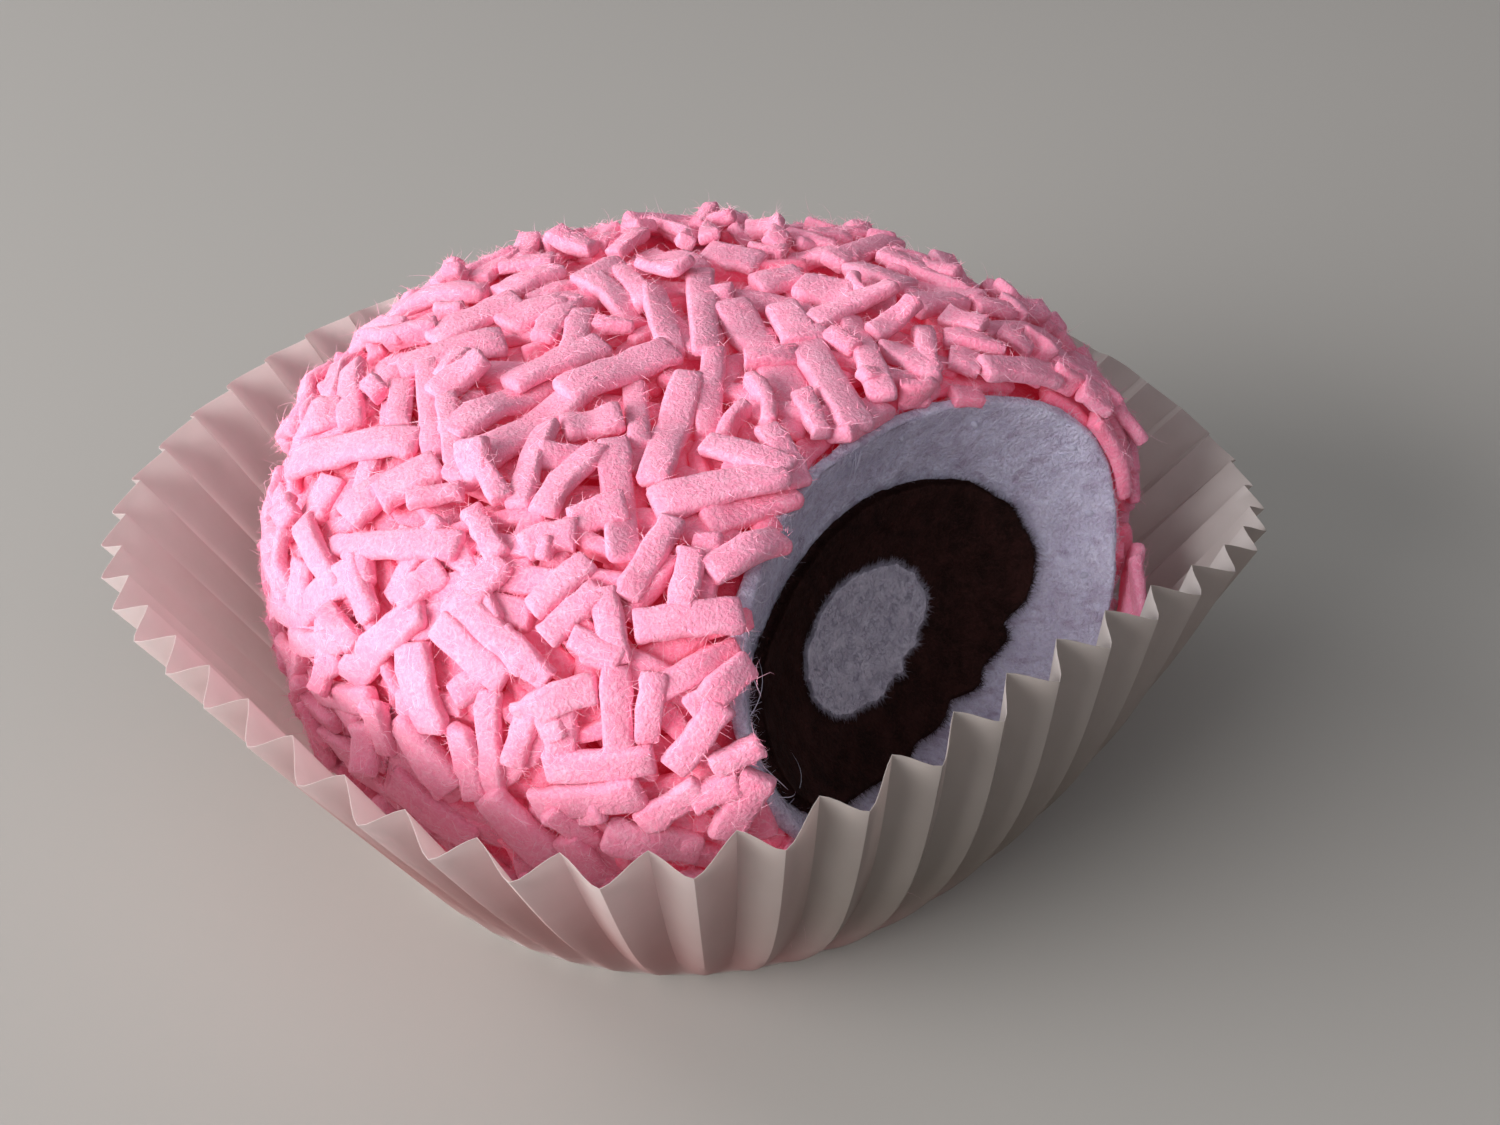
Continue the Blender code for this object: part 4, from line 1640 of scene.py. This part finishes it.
        return piece


@dataclass
class Fibres:
    """Loose fibres that stand off felt, as many thin spikes in one piece.

    Attributes:
        name: the piece's name.
        radius: of a fibre at its root.
        joints: lengths that a fibre bends between; one for short straight down.
        sides: of a fibre.
    """

    name: str
    radius: float = 0.020 * MM
    joints: int = 1
    sides: int = 3

    def template(self) -> bpy.types.Mesh:
        """Make the pattern of one fibre.

        Returns:
            A closed spike of unit height and radius.
        """
        spike = bmesh.new()
        bmesh.ops.create_cone(spike, cap_ends=True, segments=self.sides, radius1=1.0, radius2=0.0, depth=1.0)
        bmesh.ops.remove_doubles(spike, verts=spike.verts[:], dist=1e-4)
        bmesh.ops.translate(spike, vec=(0.0, 0.0, 0.5), verts=spike.verts[:])
        if self.joints > 1:
            tall = [edge for edge in spike.edges if abs(edge.verts[0].co.z - edge.verts[1].co.z) > 0.5]
            bmesh.ops.subdivide_edges(spike, edges=tall, cuts=self.joints - 1)
        mesh = bpy.data.meshes.new("fibre_pattern")
        spike.to_mesh(mesh)
        spike.free()
        return mesh

    def build(self, roots: np.ndarray, leads: np.ndarray, curls: np.ndarray, finish: FibreFinish) -> Piece:
        """Grow the fibres.

        Args:
            roots: where each fibre starts.
            leads: from each root to its tip, if it were straight.
            curls: how each fibre's middle is pushed aside.
            finish: the fibres' finish.

        Returns:
            The piece.
        """
        pattern = self.template()
        unit_points = vertex_array(pattern)
        piece = copies(pattern, len(roots), self.name)
        aside = unit(np.cross(leads, leads[:, [1, 2, 0]] + 1e-7))
        other = unit(np.cross(leads, aside))
        rise = unit_points[:, 2][None, :, None]
        line = roots[:, None, :] + leads[:, None, :] * rise + curls[:, None, :] * (4.0 * rise * (1.0 - rise))
        ring = aside[:, None, :] * unit_points[:, 0][None, :, None]
        ring = ring + other[:, None, :] * unit_points[:, 1][None, :, None]
        points = line + ring * self.radius
        piece.data.vertices.foreach_set("co", points.ravel())
        piece.data.materials.append(finish.make())
        piece.data.update()
        return piece


@dataclass(frozen=True)
class FuzzKind:
    """What the loose fibres on the strips are like.

    Attributes:
        radius: of a fibre at its root.
        joints: lengths that it bends between.
        lengths: shortest and longest.
        curl: how far its middle is pushed aside.
        stand: how steeply it stands off the face.
        overhang: how much it leans out over the strip's sides.
        finish: its finish.
    """

    radius: float
    joints: int
    lengths: tuple[float, float]
    curl: float
    stand: float
    overhang: float
    finish: FibreFinish


PINK_DOWN = FuzzKind(0.030 * MM, 1, (0.30 * MM, 0.75 * MM), 0.0, 0.5, 1.0, PINK_FIBRE)
PINK_CURLS = FuzzKind(0.024 * MM, 2, (0.7 * MM, 1.5 * MM), 0.16 * MM, 0.16, 0.5, PALE_PINK_FIBRE)
PINK_HAIRS = FuzzKind(0.017 * MM, 3, (1.0 * MM, 2.6 * MM), 0.26 * MM, 0.5, 1.0, PALE_PINK_FIBRE)


@dataclass
class PinkCake:
    """The stuffed pink body with its shaggy coat.

    Attributes:
        dome: the cake's outer form.
        bite: the bite in it.
        cup: the cup round it.
        view: the photograph's view.
        down_count: short straight fibres.
        curl_count: short curled fibres in each of their two pieces.
        hair_count: long curled fibres.
        body_columns: points round the body.
        body_rows: points from its top to its underside.
        knife_reach: how far behind the lining's face the body is cut.
    """

    dome: DomeShape
    bite: BiteShape
    cup: CupShape
    view: View
    down_count: int = 46000
    curl_count: int = 15500
    hair_count: int = 4000
    body_columns: int = 128
    body_rows: int = 72
    knife_reach: float = 0.7 * MM

    def build(self) -> list[Piece]:
        """Build the body, the strips and the fuzz.

        Returns:
            The pieces.
        """
        coat = FeltCoat(self.dome, self.bite, self.cup, self.view)
        coat.strew()
        LOG.info("coat of %d strips", len(coat.laid))
        body = self.body(coat.base_inset)
        strips = []
        for number, (name, rounding, cuts) in enumerate(STRIP_PIECES):
            some = coat.laid[coat.starts[number] : coat.starts[number + 1]]
            strips.append(coat.dress(f"felt_strips_{name}", some, rounding, cuts))
        top = coat.laid[coat.starts[1] // 2 :]
        down = self.fuzz("pink_down", top, 21, PINK_DOWN, self.down_count)
        curls = [
            self.fuzz(f"pink_curls_{side}", top, 23 + side, PINK_CURLS, self.curl_count) for side in range(2)
        ]
        for piece in (down, *curls):
            piece.visible_shadow = False
        hairs = self.fuzz("pink_hairs", top, 5, PINK_HAIRS, self.hair_count)
        return [body, *strips, down, *curls, hairs]

    def body(self, inset: float) -> Piece:
        """Make the felt body under the strips, with the bite taken out.

        Args:
            inset: how far it lies inside the outer form.

        Returns:
            The body.
        """
        ball = bmesh.new()
        bmesh.ops.create_uvsphere(ball, u_segments=self.body_columns, v_segments=self.body_rows, radius=1.0)
        for vertex in ball.verts:
            turn = math.asin(max(-1.0, min(1.0, vertex.co.z)))
            azimuth = math.atan2(vertex.co.y, vertex.co.x)
            radius, height = (float(value) for value in self.dome.profile(turn, inset))
            height = max(height, self.dome.floor)
            vertex.co = Vector((radius * math.cos(azimuth), radius * math.sin(azimuth), height))
            vertex.co += Vector((self.dome.centre_x, self.dome.centre_y, 0.0))
        body = finished_object("felt_body", ball, PINK_BASE_GAP_SHADE_FELT.make())
        knife = bmesh.new()
        bmesh.ops.create_uvsphere(knife, u_segments=64, v_segments=32, radius=1.0)
        reach = Matrix.Diagonal([radius + self.knife_reach for radius in self.bite.radii]).to_4x4()
        bmesh.ops.transform(knife, matrix=self.bite.matrix(self.dome) @ reach, verts=knife.verts[:])
        cutter = finished_object("bite_knife", knife, body.data.materials[0])
        cut = body.modifiers.new("bite", "BOOLEAN")
        cut.operation = "DIFFERENCE"
        cut.object = cutter
        apply_modifiers(body)
        bpy.data.objects.remove(cutter)
        roughen(body, 0.22 * MM, 1.4 * MM)
        return body

    def fuzz(self, name: str, strips: list[LaidStrip], seed: int, kind: FuzzKind, count: int) -> Piece:
        """Grow fibres on the strips.

        Args:
            name: the piece's name.
            strips: the strips that show.
            seed: of the random numbers.
            kind: what the fibres are like.
            count: how many.

        Returns:
            The fibres.
        """
        draw = np.random.default_rng(seed)
        pick = draw.integers(0, len(strips), count)
        lines = np.array([laid.line for laid in strips])
        sides = np.array([laid.sides for laid in strips])
        faces = np.array([laid.faces for laid in strips])
        sizes = np.array([(laid.strip.width, laid.strip.thickness) for laid in strips])[pick]
        run = draw.uniform(0.0, lines.shape[1] - 1.001, count)
        low = run.astype(int)
        start, end = lines[pick, low], lines[pick, low + 1]
        side, face = sides[pick, low], faces[pick, low]
        aside = 0.49 * np.sin(draw.uniform(-0.5 * math.pi, 0.5 * math.pi, count))
        rise = np.where(np.abs(aside) > 0.44, draw.uniform(-0.3, 0.42, count), 0.46)
        roots = start + (end - start) * (run - low)[:, None]
        roots += side * (aside * sizes[:, 0])[:, None] + face * (rise * sizes[:, 1])[:, None]
        roots += np.array([noise.noise_vector(Vector(root) / LUMP_SIZE) for root in roots]) * LUMP_HEIGHT
        leads = unit(end - start) * draw.normal(0.0, 0.8, (count, 1))
        leads += side * (draw.normal(0.0, 0.6, count) + kind.overhang * aside)[:, None]
        leads += face * draw.uniform(0.05, kind.stand, (count, 1))
        leads = unit(leads) * draw.uniform(*kind.lengths, (count, 1))
        curls = draw.normal(0.0, kind.curl, (count, 3))
        return Fibres(name, kind.radius, kind.joints).build(roots, leads, curls, kind.finish)


# --- Felt in the bite ---
@dataclass(frozen=True)
class LooseThread:
    """A thread end or loop that stands off the lining.

    Attributes:
        around: direction of its root in the bite's mouth, in degrees.
        inset: how far its root lies inside the lining's rim, in degrees of the bowl.
        heading: which way it runs, in degrees: 0 down the bowl and 90 along the rim.
        length: from its root to its tip.
        curl: how far its middle is pushed aside.
    """

    around: float
    inset: float
    heading: float
    length: float
    curl: float


LOOSE_THREADS = (
    LooseThread(92, 2, 22, 3.6 * MM, 0.3 * MM),
    LooseThread(93, 3, 14, 3.0 * MM, 0.2 * MM),
    LooseThread(91, 3, 30, 2.8 * MM, 0.3 * MM),
    LooseThread(94, 4, 20, 3.2 * MM, 0.1 * MM),
    LooseThread(95, 1, -8, 2.6 * MM, 0.5 * MM),
    LooseThread(-154, 4, -10, 4.6 * MM, 1.2 * MM),
    LooseThread(-160, 2, 25, 3.0 * MM, 0.9 * MM),
    LooseThread(-172, 1, 75, 3.8 * MM, 1.2 * MM),
    LooseThread(176, 1, -60, 4.4 * MM, 1.4 * MM),
    LooseThread(164, 1, 50, 3.2 * MM, 1.2 * MM),
    LooseThread(150, 1, -35, 3.4 * MM, 0.9 * MM),
    LooseThread(126, 1, 30, 2.6 * MM, 0.5 * MM),
    LooseThread(60, 1, 20, 2.2 * MM, 0.5 * MM),
)


@dataclass
class BiteLining:
    """The white felt bowl that lines the bite, with its stitched rim.

    Attributes:
        dome: the cake's outer form.
        bite: the bite in it.
        thickness: of the felt.
        reach: how far inside the outer form the lining ends.
        columns: points round the bowl.
        rows: points from its rim to its deepest.
        fluff_count: short fibres on the bowl.
        rim_count: fibres along the cut edge.
        worn_share: share of those on the side where the edge is worn.
        worn_side: where that is, as a direction in the bite's mouth.
        worn_spread: how wide it is.
        knot_places: direction in the mouth, in degrees, and millimetres inside the rim.
    """

    dome: DomeShape
    bite: BiteShape
    thickness: float = 1.0 * MM
    reach: float = 1.8 * MM
    columns: int = 144
    rows: int = 48
    fluff_count: int = 6000
    rim_count: int = 3200
    worn_share: float = 0.28
    worn_side: float = math.radians(172.0)
    worn_spread: float = math.radians(32.0)
    knot_places: tuple = ((72, 2.0), (18, 1.6), (-4, 1.9), (46, 2.6), (128, 2.4), (-22, 2.2), (95, 1.8))

    def rim_sweep(self, around: float, inset: float) -> float:
        """Return how far the bowl reaches in one direction before it leaves the cake.

        Args:
            around: direction in the plane of the bite's mouth.
            inset: how far inside the cake's outer form it stops.

        Returns:
            The angle from the bowl's deepest point.
        """
        matrix = self.bite.matrix(self.dome)
        low, high = math.radians(20.0), math.radians(150.0)
        for _ in range(24):
            middle = 0.5 * (low + high)
            if self.dome.inside(matrix @ self.bite.bowl(middle, around, 0.0), inset):
                low = middle
            else:
                high = middle
        return low

    def build(self) -> list[Piece]:
        """Build the bowl and its fuzzy edge.

        Returns:
            The pieces.
        """
        matrix = self.bite.matrix(self.dome)
        bowl = bmesh.new()
        bmesh.ops.create_uvsphere(bowl, u_segments=self.columns, v_segments=2 * self.rows, radius=1.0)
        upper = [vertex for vertex in bowl.verts if vertex.co.z > 1e-4]
        bmesh.ops.delete(bowl, geom=upper, context="VERTS")
        for vertex in bowl.verts:
            around = math.atan2(vertex.co.y, vertex.co.x)
            share = math.acos(max(-1.0, min(1.0, -vertex.co.z))) / (0.5 * math.pi)
            sweep = share * self.rim_sweep(around, self.reach)
            vertex.co = matrix @ self.bite.bowl(sweep, around, 0.0)
        bmesh.ops.reverse_faces(bowl, faces=bowl.faces[:])
        lining = finished_object("bite_lining", bowl, WHITE_FELT.make())
        thicken(lining, self.thickness, 0.4 * MM)
        roughen(lining, 0.20 * MM, 3.2 * MM, 3.0)
        roughen(lining, 0.08 * MM, 1.0 * MM, 7.0)
        return [lining, self.fluff(), self.rim_fuzz(), self.loose_threads(), self.knots()]

    def fluff(self) -> Piece:
        """Lay short matted fibres on the bowl.

        Returns:
            The fibres.
        """
        draw = np.random.default_rng(17)
        matrix = self.bite.matrix(self.dome)
        roots, leads = [], []
        for _ in range(self.fluff_count):
            around = draw.uniform(-math.pi, math.pi)
            sweep = math.sqrt(draw.uniform(0.12, 0.98)) * self.rim_sweep(around, self.reach)
            root = matrix @ self.bite.bowl(sweep, around, -0.05 * MM)
            beside = matrix @ self.bite.bowl(sweep, around + 0.1, 0.0)
            deeper = matrix @ self.bite.bowl(sweep - 0.1, around, 0.0)
            along = (beside - root).normalized()
            inward = (deeper - root).normalized()
            lead = inward * draw.normal(0.0, 0.7) + along * draw.normal(0.0, 0.7)
            lead += along.cross(inward) * draw.uniform(0.0, 0.3)
            roots.append(root)
            leads.append(lead.normalized() * draw.uniform(0.4, 1.2) * MM)
        curls = draw.normal(0.0, 0.05, (self.fluff_count, 3)) * MM
        fibres = Fibres("lining_fluff", 0.018 * MM)
        return fibres.build(np.array(roots), np.array(leads), curls, WHITE_FIBRE)

    def loose_threads(self) -> Piece:
        """Let a few long thread ends and loops stand off the rim.

        Returns:
            The threads.
        """
        matrix = self.bite.matrix(self.dome)
        roots, leads, curls = [], [], []
        for thread in LOOSE_THREADS:
            around = math.radians(thread.around)
            sweep = self.rim_sweep(around, self.reach) - math.radians(thread.inset)
            root = matrix @ self.bite.bowl(sweep, around, -0.1 * MM)
            inward = (matrix @ self.bite.bowl(sweep - 0.25, around, -0.1 * MM) - root).normalized()
            along = (matrix @ self.bite.bowl(sweep, around + 0.1, -0.1 * MM) - root).normalized()
            off = along.cross(inward).normalized()
            heading = math.radians(thread.heading)
            lead = inward * math.cos(heading) + along * math.sin(heading) + off * 0.25
            aside = along * math.cos(heading) - inward * math.sin(heading) + off * 0.5
            roots.append(root)
            leads.append(lead.normalized() * thread.length)
            curls.append(aside.normalized() * thread.curl)
        fibres = Fibres("white_threads", 0.05 * MM, 9)
        return fibres.build(np.array(roots), np.array(leads), np.array(curls), WHITE_FIBRE)

    def knots(self) -> Piece:
        """Set the small knots of the sewing thread in the lining.

        Returns:
            The knots.
        """
        matrix = self.bite.matrix(self.dome)
        beads = bmesh.new()
        for around_deg, inset in self.knot_places:
            around = math.radians(around_deg)
            sweep = self.rim_sweep(around, self.reach) - inset * MM / self.bite.radii[2]
            place = Matrix.Translation(matrix @ self.bite.bowl(sweep, around, 0.05 * MM))
            size = Matrix.Diagonal((0.38 * MM, 0.26 * MM, 0.26 * MM, 1.0))
            turned = Matrix.Rotation(around, 4, "Y")
            whole = place @ turned @ size
            bmesh.ops.create_uvsphere(beads, u_segments=12, v_segments=8, radius=1.0, matrix=whole)
        return finished_object("lining_knots", beads, WHITE_FIBRE.make())

    def rim_fuzz(self) -> Piece:
        """Grow white fibres along the lining's cut edge.

        Returns:
            The fibres.
        """
        draw = np.random.default_rng(8)
        matrix = self.bite.matrix(self.dome)
        roots, leads = [], []
        for _ in range(self.rim_count):
            around = draw.uniform(-math.pi, math.pi)
            worn = draw.random() < self.worn_share
            if worn:
                around = draw.normal(self.worn_side, self.worn_spread)
            sweep = self.rim_sweep(around, self.reach)
            depth = draw.uniform(-0.3, 1.0) * self.thickness
            root = matrix @ self.bite.bowl(sweep - 0.01, around, depth)
            inner = matrix @ self.bite.bowl(sweep - 0.2, around, depth)
            beside = matrix @ self.bite.bowl(sweep, around + 0.1, depth)
            outward = (root - inner).normalized()
            along = (beside - root).normalized()
            lead = outward * draw.uniform(0.2, 1.0) + along * draw.normal(0.0, 0.9)
            if worn:
                lead += outward.cross(along) * draw.uniform(-0.2, 1.2)
                lead -= outward * draw.uniform(0.0, 0.9)
            lead += Vector(draw.normal(0.0, 0.35, 3))
            roots.append(root)
            leads.append(lead.normalized() * draw.uniform(0.3, 1.0 if worn else 1.2) * MM)
        curls = draw.normal(0.0, 0.2, (self.rim_count, 3)) * MM
        fibres = Fibres("white_rim_fuzz", 0.017 * MM, 3)
        return fibres.build(np.array(roots), np.array(leads), curls, WHITE_FIBRE)


@dataclass
class BiteLayer:
    """A felt piece laid in the bowl: an ellipse with cut steps on its lower right.

    Attributes:
        name: the piece's name.
        centre: across and up the bite.
        half_size: of the ellipse, across and up.
        roll: its turn in the bite's mouth.
        step_depths: of the cut steps, from below.
        back: of the felt, in front of the lining's face.
        front: of the felt.
        finish: its felt.
        fibre_finish: its loose fibres.
        bite: the bite.
        dome: the cake.
        slim: how much slimmer it is on its upper left.
        slim_side: where that is.
        step_start: where the cut steps start.
        step_end: where they end.
        columns: points round it.
        rows: points from its edge to its middle.
        fibre_count: loose fibres.
        edge_share: share of those at its edge.
    """

    name: str
    centre: tuple
    half_size: tuple
    roll: float
    step_depths: tuple
    back: float
    front: float
    finish: FeltFinish
    fibre_finish: FibreFinish
    bite: BiteShape
    dome: DomeShape
    slim: float = 0.0
    slim_side: float = math.radians(122.0)
    step_start: float = math.radians(-95.0)
    step_end: float = math.radians(-26.0)
    columns: int = 160
    rows: int = 28
    fibre_count: int = 14000
    edge_share: float = 0.65

    def edge(self, turn: float) -> Vector:
        """Place a point of the outline.

        Args:
            turn: its direction from the middle.

        Returns:
            The point, across and up the bite.
        """
        shrink = 0.0
        if self.step_start < turn < self.step_end:
            place = (turn - self.step_start) / (self.step_end - self.step_start) * len(self.step_depths)
            shrink = self.step_depths[int(place)] * (0.5 - 0.5 * math.cos(math.tau * (place % 1.0) ** 0.7))
        shrink += self.slim * max(0.0, math.cos(turn - self.slim_side)) ** 4
        shrink -= 0.35 * MM * noise.noise(Vector((math.cos(turn), math.sin(turn), 0.0)) * 4.0)
        shrink -= 0.18 * MM * noise.noise(Vector((math.cos(turn), math.sin(turn), 1.0)) * 16.0)
        across = (self.half_size[0] - shrink) * math.cos(turn)
        up = (self.half_size[1] - shrink) * math.sin(turn)
        return Matrix.Rotation(self.roll, 2) @ Vector((across, up)) + Vector(self.centre)

    def on_bowl(self, place: Vector, offset: float) -> Vector:
        """Drop a place in the bite's mouth onto the bowl.

        Args:
            place: across and up the bite.
            offset: how far in front of the lining's face.

        Returns:
            The point.
        """
        a, b, c = (radius - offset for radius in self.bite.radii)
        depth = 1.0 - (place.x / a) ** 2 - (place.y / b) ** 2
        local = Vector((place.x, place.y, -c * math.sqrt(max(0.0, depth))))
        return self.bite.matrix(self.dome) @ local

    def build(self) -> list[Piece]:
        """Build the layer and the fibres along its edge.

        Returns:
            The pieces.
        """
        sheet = bmesh.new()
        bmesh.ops.create_uvsphere(sheet, u_segments=self.columns, v_segments=2 * self.rows, radius=1.0)
        upper = [vertex for vertex in sheet.verts if vertex.co.z > 1e-4]
        bmesh.ops.delete(sheet, geom=upper, context="VERTS")
        middle = Vector(self.centre)
        for vertex in sheet.verts:
            turn = math.atan2(vertex.co.y, vertex.co.x)
            share = math.acos(max(-1.0, min(1.0, -vertex.co.z))) / (0.5 * math.pi)
            place = middle + (self.edge(turn) - middle) * share
            vertex.co = self.on_bowl(place, self.front)
        bmesh.ops.reverse_faces(sheet, faces=sheet.faces[:])
        layer = finished_object(self.name, sheet, self.finish.make())
        thicken(layer, self.front - self.back, 0.3 * MM)
        roughen(layer, 0.07 * MM, 1.1 * MM, 5.0)
        return [layer, self.edge_fibres()]

    def edge_fibres(self) -> Piece:
        """Grow fibres over the layer's cut edge.

        Returns:
            The fibres.
        """
        draw = np.random.default_rng(13)
        out = self.bite.matrix(self.dome).to_3x3() @ Vector((0.0, 0.0, 1.0))
        roots, leads = [], []
        for _ in range(self.fibre_count):
            turn = draw.uniform(-math.pi, math.pi)
            at_edge = draw.random() < self.edge_share
            offset = draw.uniform(0.4 * self.front, self.front) if at_edge else self.front
            share = 1.0 if at_edge else 0.98 * math.sqrt(draw.random())
            middle = Vector(self.centre)
            root = self.on_bowl(middle + (self.edge(turn) - middle) * share, offset)
            inner = self.on_bowl(middle + (self.edge(turn) - middle) * (share - 0.1), offset)
            beside = self.on_bowl(middle + (self.edge(turn + 0.05) - middle) * share, offset)
            outward = draw.uniform(0.1, 1.0) if at_edge else draw.normal(0.0, 0.7)
            lead = (root - inner).normalized() * outward
            lead += (beside - root).normalized() * draw.normal(0.0, 0.8) + out * draw.uniform(0.0, 0.25)
            roots.append(root)
            leads.append(lead.normalized() * draw.uniform(0.25, 0.85) * MM)
        curls = np.zeros((self.fibre_count, 3))
        fibres = Fibres(f"{self.name}_fibres", 0.022 * MM)
        return fibres.build(np.array(roots), np.array(leads), curls, self.fibre_finish)


# --- Studio ---
@dataclass(frozen=True)
class Lamp:
    """A soft lamp.

    Attributes:
        name: the lamp's name.
        place: where it hangs.
        size: its width and its height.
        power: in watts.
        colour: of its light.
    """

    name: str
    place: Point
    size: tuple[float, float]
    power: float
    colour: Colour


@dataclass(frozen=True)
class Studio:
    """Camera as in the photograph, pale floor and soft light from the left.

    Attributes:
        view: the photograph's view.
        floor_size: length of the floor's sides.
        lamps: the soft lamps.
        lamp_spread: angle that each shines into.
        aim: the point that they face.
        bright_side: direction of the room's brightest part.
        room: the room's least and greatest light.
        room_colour: colour of that light.
    """

    view: View
    floor_size: float = 3.0
    lamps: tuple[Lamp, ...] = (
        Lamp("window", (-0.67, -0.38, 0.27), (0.85, 0.46), 5.9, (1.0, 0.98, 0.99)),
        Lamp("window_behind", (-0.58, 0.34, 0.30), (0.25, 0.25), 0.6, (0.98, 0.99, 1.0)),
        Lamp("sky", (-0.15, -0.15, 0.80), (0.5, 0.5), 0.13, (0.96, 0.97, 1.0)),
        Lamp("fill", (0.26, -0.54, 0.58), (0.5, 0.5), 0.40, (0.96, 0.97, 1.0)),
    )
    lamp_spread: float = math.radians(120.0)
    aim: Point = (0.0, 0.0, 20.0 * MM)
    bright_side: Point = (-0.80, -0.45, 0.40)
    room: tuple[float, float] = (0.06, 0.32)
    room_colour: Colour = (0.92, 0.94, 1.0)

    def camera(self) -> None:
        """Set up the camera."""
        data = bpy.data.cameras.new("camera")
        data.lens = self.view.lens
        data.sensor_width = self.view.sensor
        data.clip_start = 0.005
        camera = bpy.data.objects.new("camera", data)
        camera.location = self.view.place
        camera.rotation_euler = (self.view.tilt, 0.0, 0.0)
        bpy.context.scene.collection.objects.link(camera)
        bpy.context.scene.camera = camera

    def room_light(self) -> None:
        """Light the room softly, brighter on the window's side."""
        world = bpy.data.worlds.new("studio")
        world.use_nodes = True
        nodes, links = world.node_tree.nodes, world.node_tree.links
        direction = nodes.new("ShaderNodeTexCoord")
        facing = nodes.new("ShaderNodeVectorMath")
        facing.operation = "DOT_PRODUCT"
        facing.inputs[1].default_value = self.bright_side
        strength = nodes.new("ShaderNodeMapRange")
        for key, number in zip(("From Min", "From Max", "To Min", "To Max"), (-0.8, 0.8, *self.room)):
            strength.inputs[key].default_value = number
        background = nodes["Background"]
        background.inputs["Color"].default_value = (*self.room_colour, 1.0)
        links.new(direction.outputs["Generated"], facing.inputs[0])
        links.new(facing.outputs["Value"], strength.inputs["Value"])
        links.new(strength.outputs["Result"], background.inputs["Strength"])
        bpy.context.scene.world = world

    def hang(self, lamp: Lamp) -> None:
        """Hang one soft lamp that faces the cake.

        Args:
            lamp: the lamp.
        """
        data = bpy.data.lights.new(lamp.name, "AREA")
        data.shape = "RECTANGLE"
        data.size, data.size_y = lamp.size
        data.spread = self.lamp_spread
        data.energy = lamp.power
        data.color = lamp.colour
        hung = bpy.data.objects.new(lamp.name, data)
        hung.location = lamp.place
        aim = Vector(self.aim) - Vector(lamp.place)
        hung.rotation_euler = aim.to_track_quat("-Z", "Y").to_euler()
        bpy.context.scene.collection.objects.link(hung)

    def build(self) -> Piece:
        """Build floor, lamps and world.

        Returns:
            The floor.
        """
        self.camera()
        for lamp in self.lamps:
            self.hang(lamp)
        self.room_light()
        bpy.context.scene.view_settings.view_transform = "Standard"
        floor = bmesh.new()
        bmesh.ops.create_grid(floor, x_segments=8, y_segments=8, size=0.5 * self.floor_size)
        bmesh.ops.translate(floor, vec=(0.0, 0.0, -0.05 * MM), verts=floor.verts[:])
        return finished_object("studio_floor", floor, FloorFinish().make())


# --- All together ---
def register(pieces: list[Piece], node: str) -> None:
    """Let pieces ride on the part and stand for one of its solids.

    Args:
        pieces: the pieces, which take the solid's place.
        node: the solid's name.
    """
    for piece in pieces:
        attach(piece, "root")
        LOG.info("%s: %d faces", piece.name, len(piece.data.polygons))
    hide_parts(node)


def main() -> None:
    """Build every piece in order."""
    logging.basicConfig(level=logging.INFO, format="%(message)s")
    noise.seed_set(NOISE_SEED)
    cup, dome, bite, view = CupShape(), DomeShape(), BiteShape(), View()
    Studio(view).build()
    register([PaperCup(cup, dome, bite).build()], "paper_cup")
    register(PinkCake(dome, bite, cup, view).build(), "pink_cake")
    register(BiteLining(dome, bite).build(), "white_lining")
    brown = BiteLayer(
        name="brown_felt_layer",
        centre=(-1.6 * MM, -2.7 * MM),
        half_size=(16.8 * MM, 9.6 * MM),
        roll=math.radians(3.0),
        step_depths=(0.5 * MM, 0.75 * MM, 0.4 * MM, 0.8 * MM),
        back=0.05 * MM,
        front=1.1 * MM,
        finish=BROWN_FELT,
        fibre_finish=BROWN_FIBRE,
        bite=bite,
        dome=dome,
        slim=2.4 * MM,
    )
    register(brown.build(), "brown_layer")
    pale = BiteLayer(
        name="pale_felt_middle",
        centre=(-1.5 * MM, -3.35 * MM),
        half_size=(7.3 * MM, 4.5 * MM),
        roll=math.radians(8.0),
        step_depths=(0.3 * MM, 0.6 * MM, 0.35 * MM),
        back=0.95 * MM,
        front=1.5 * MM,
        finish=PALE_FELT,
        fibre_finish=PALE_FIBRE,
        bite=bite,
        dome=dome,
        fibre_count=7000,
    )
    register(pale.build(), "pale_middle")


if __name__ == "__main__":
    main()
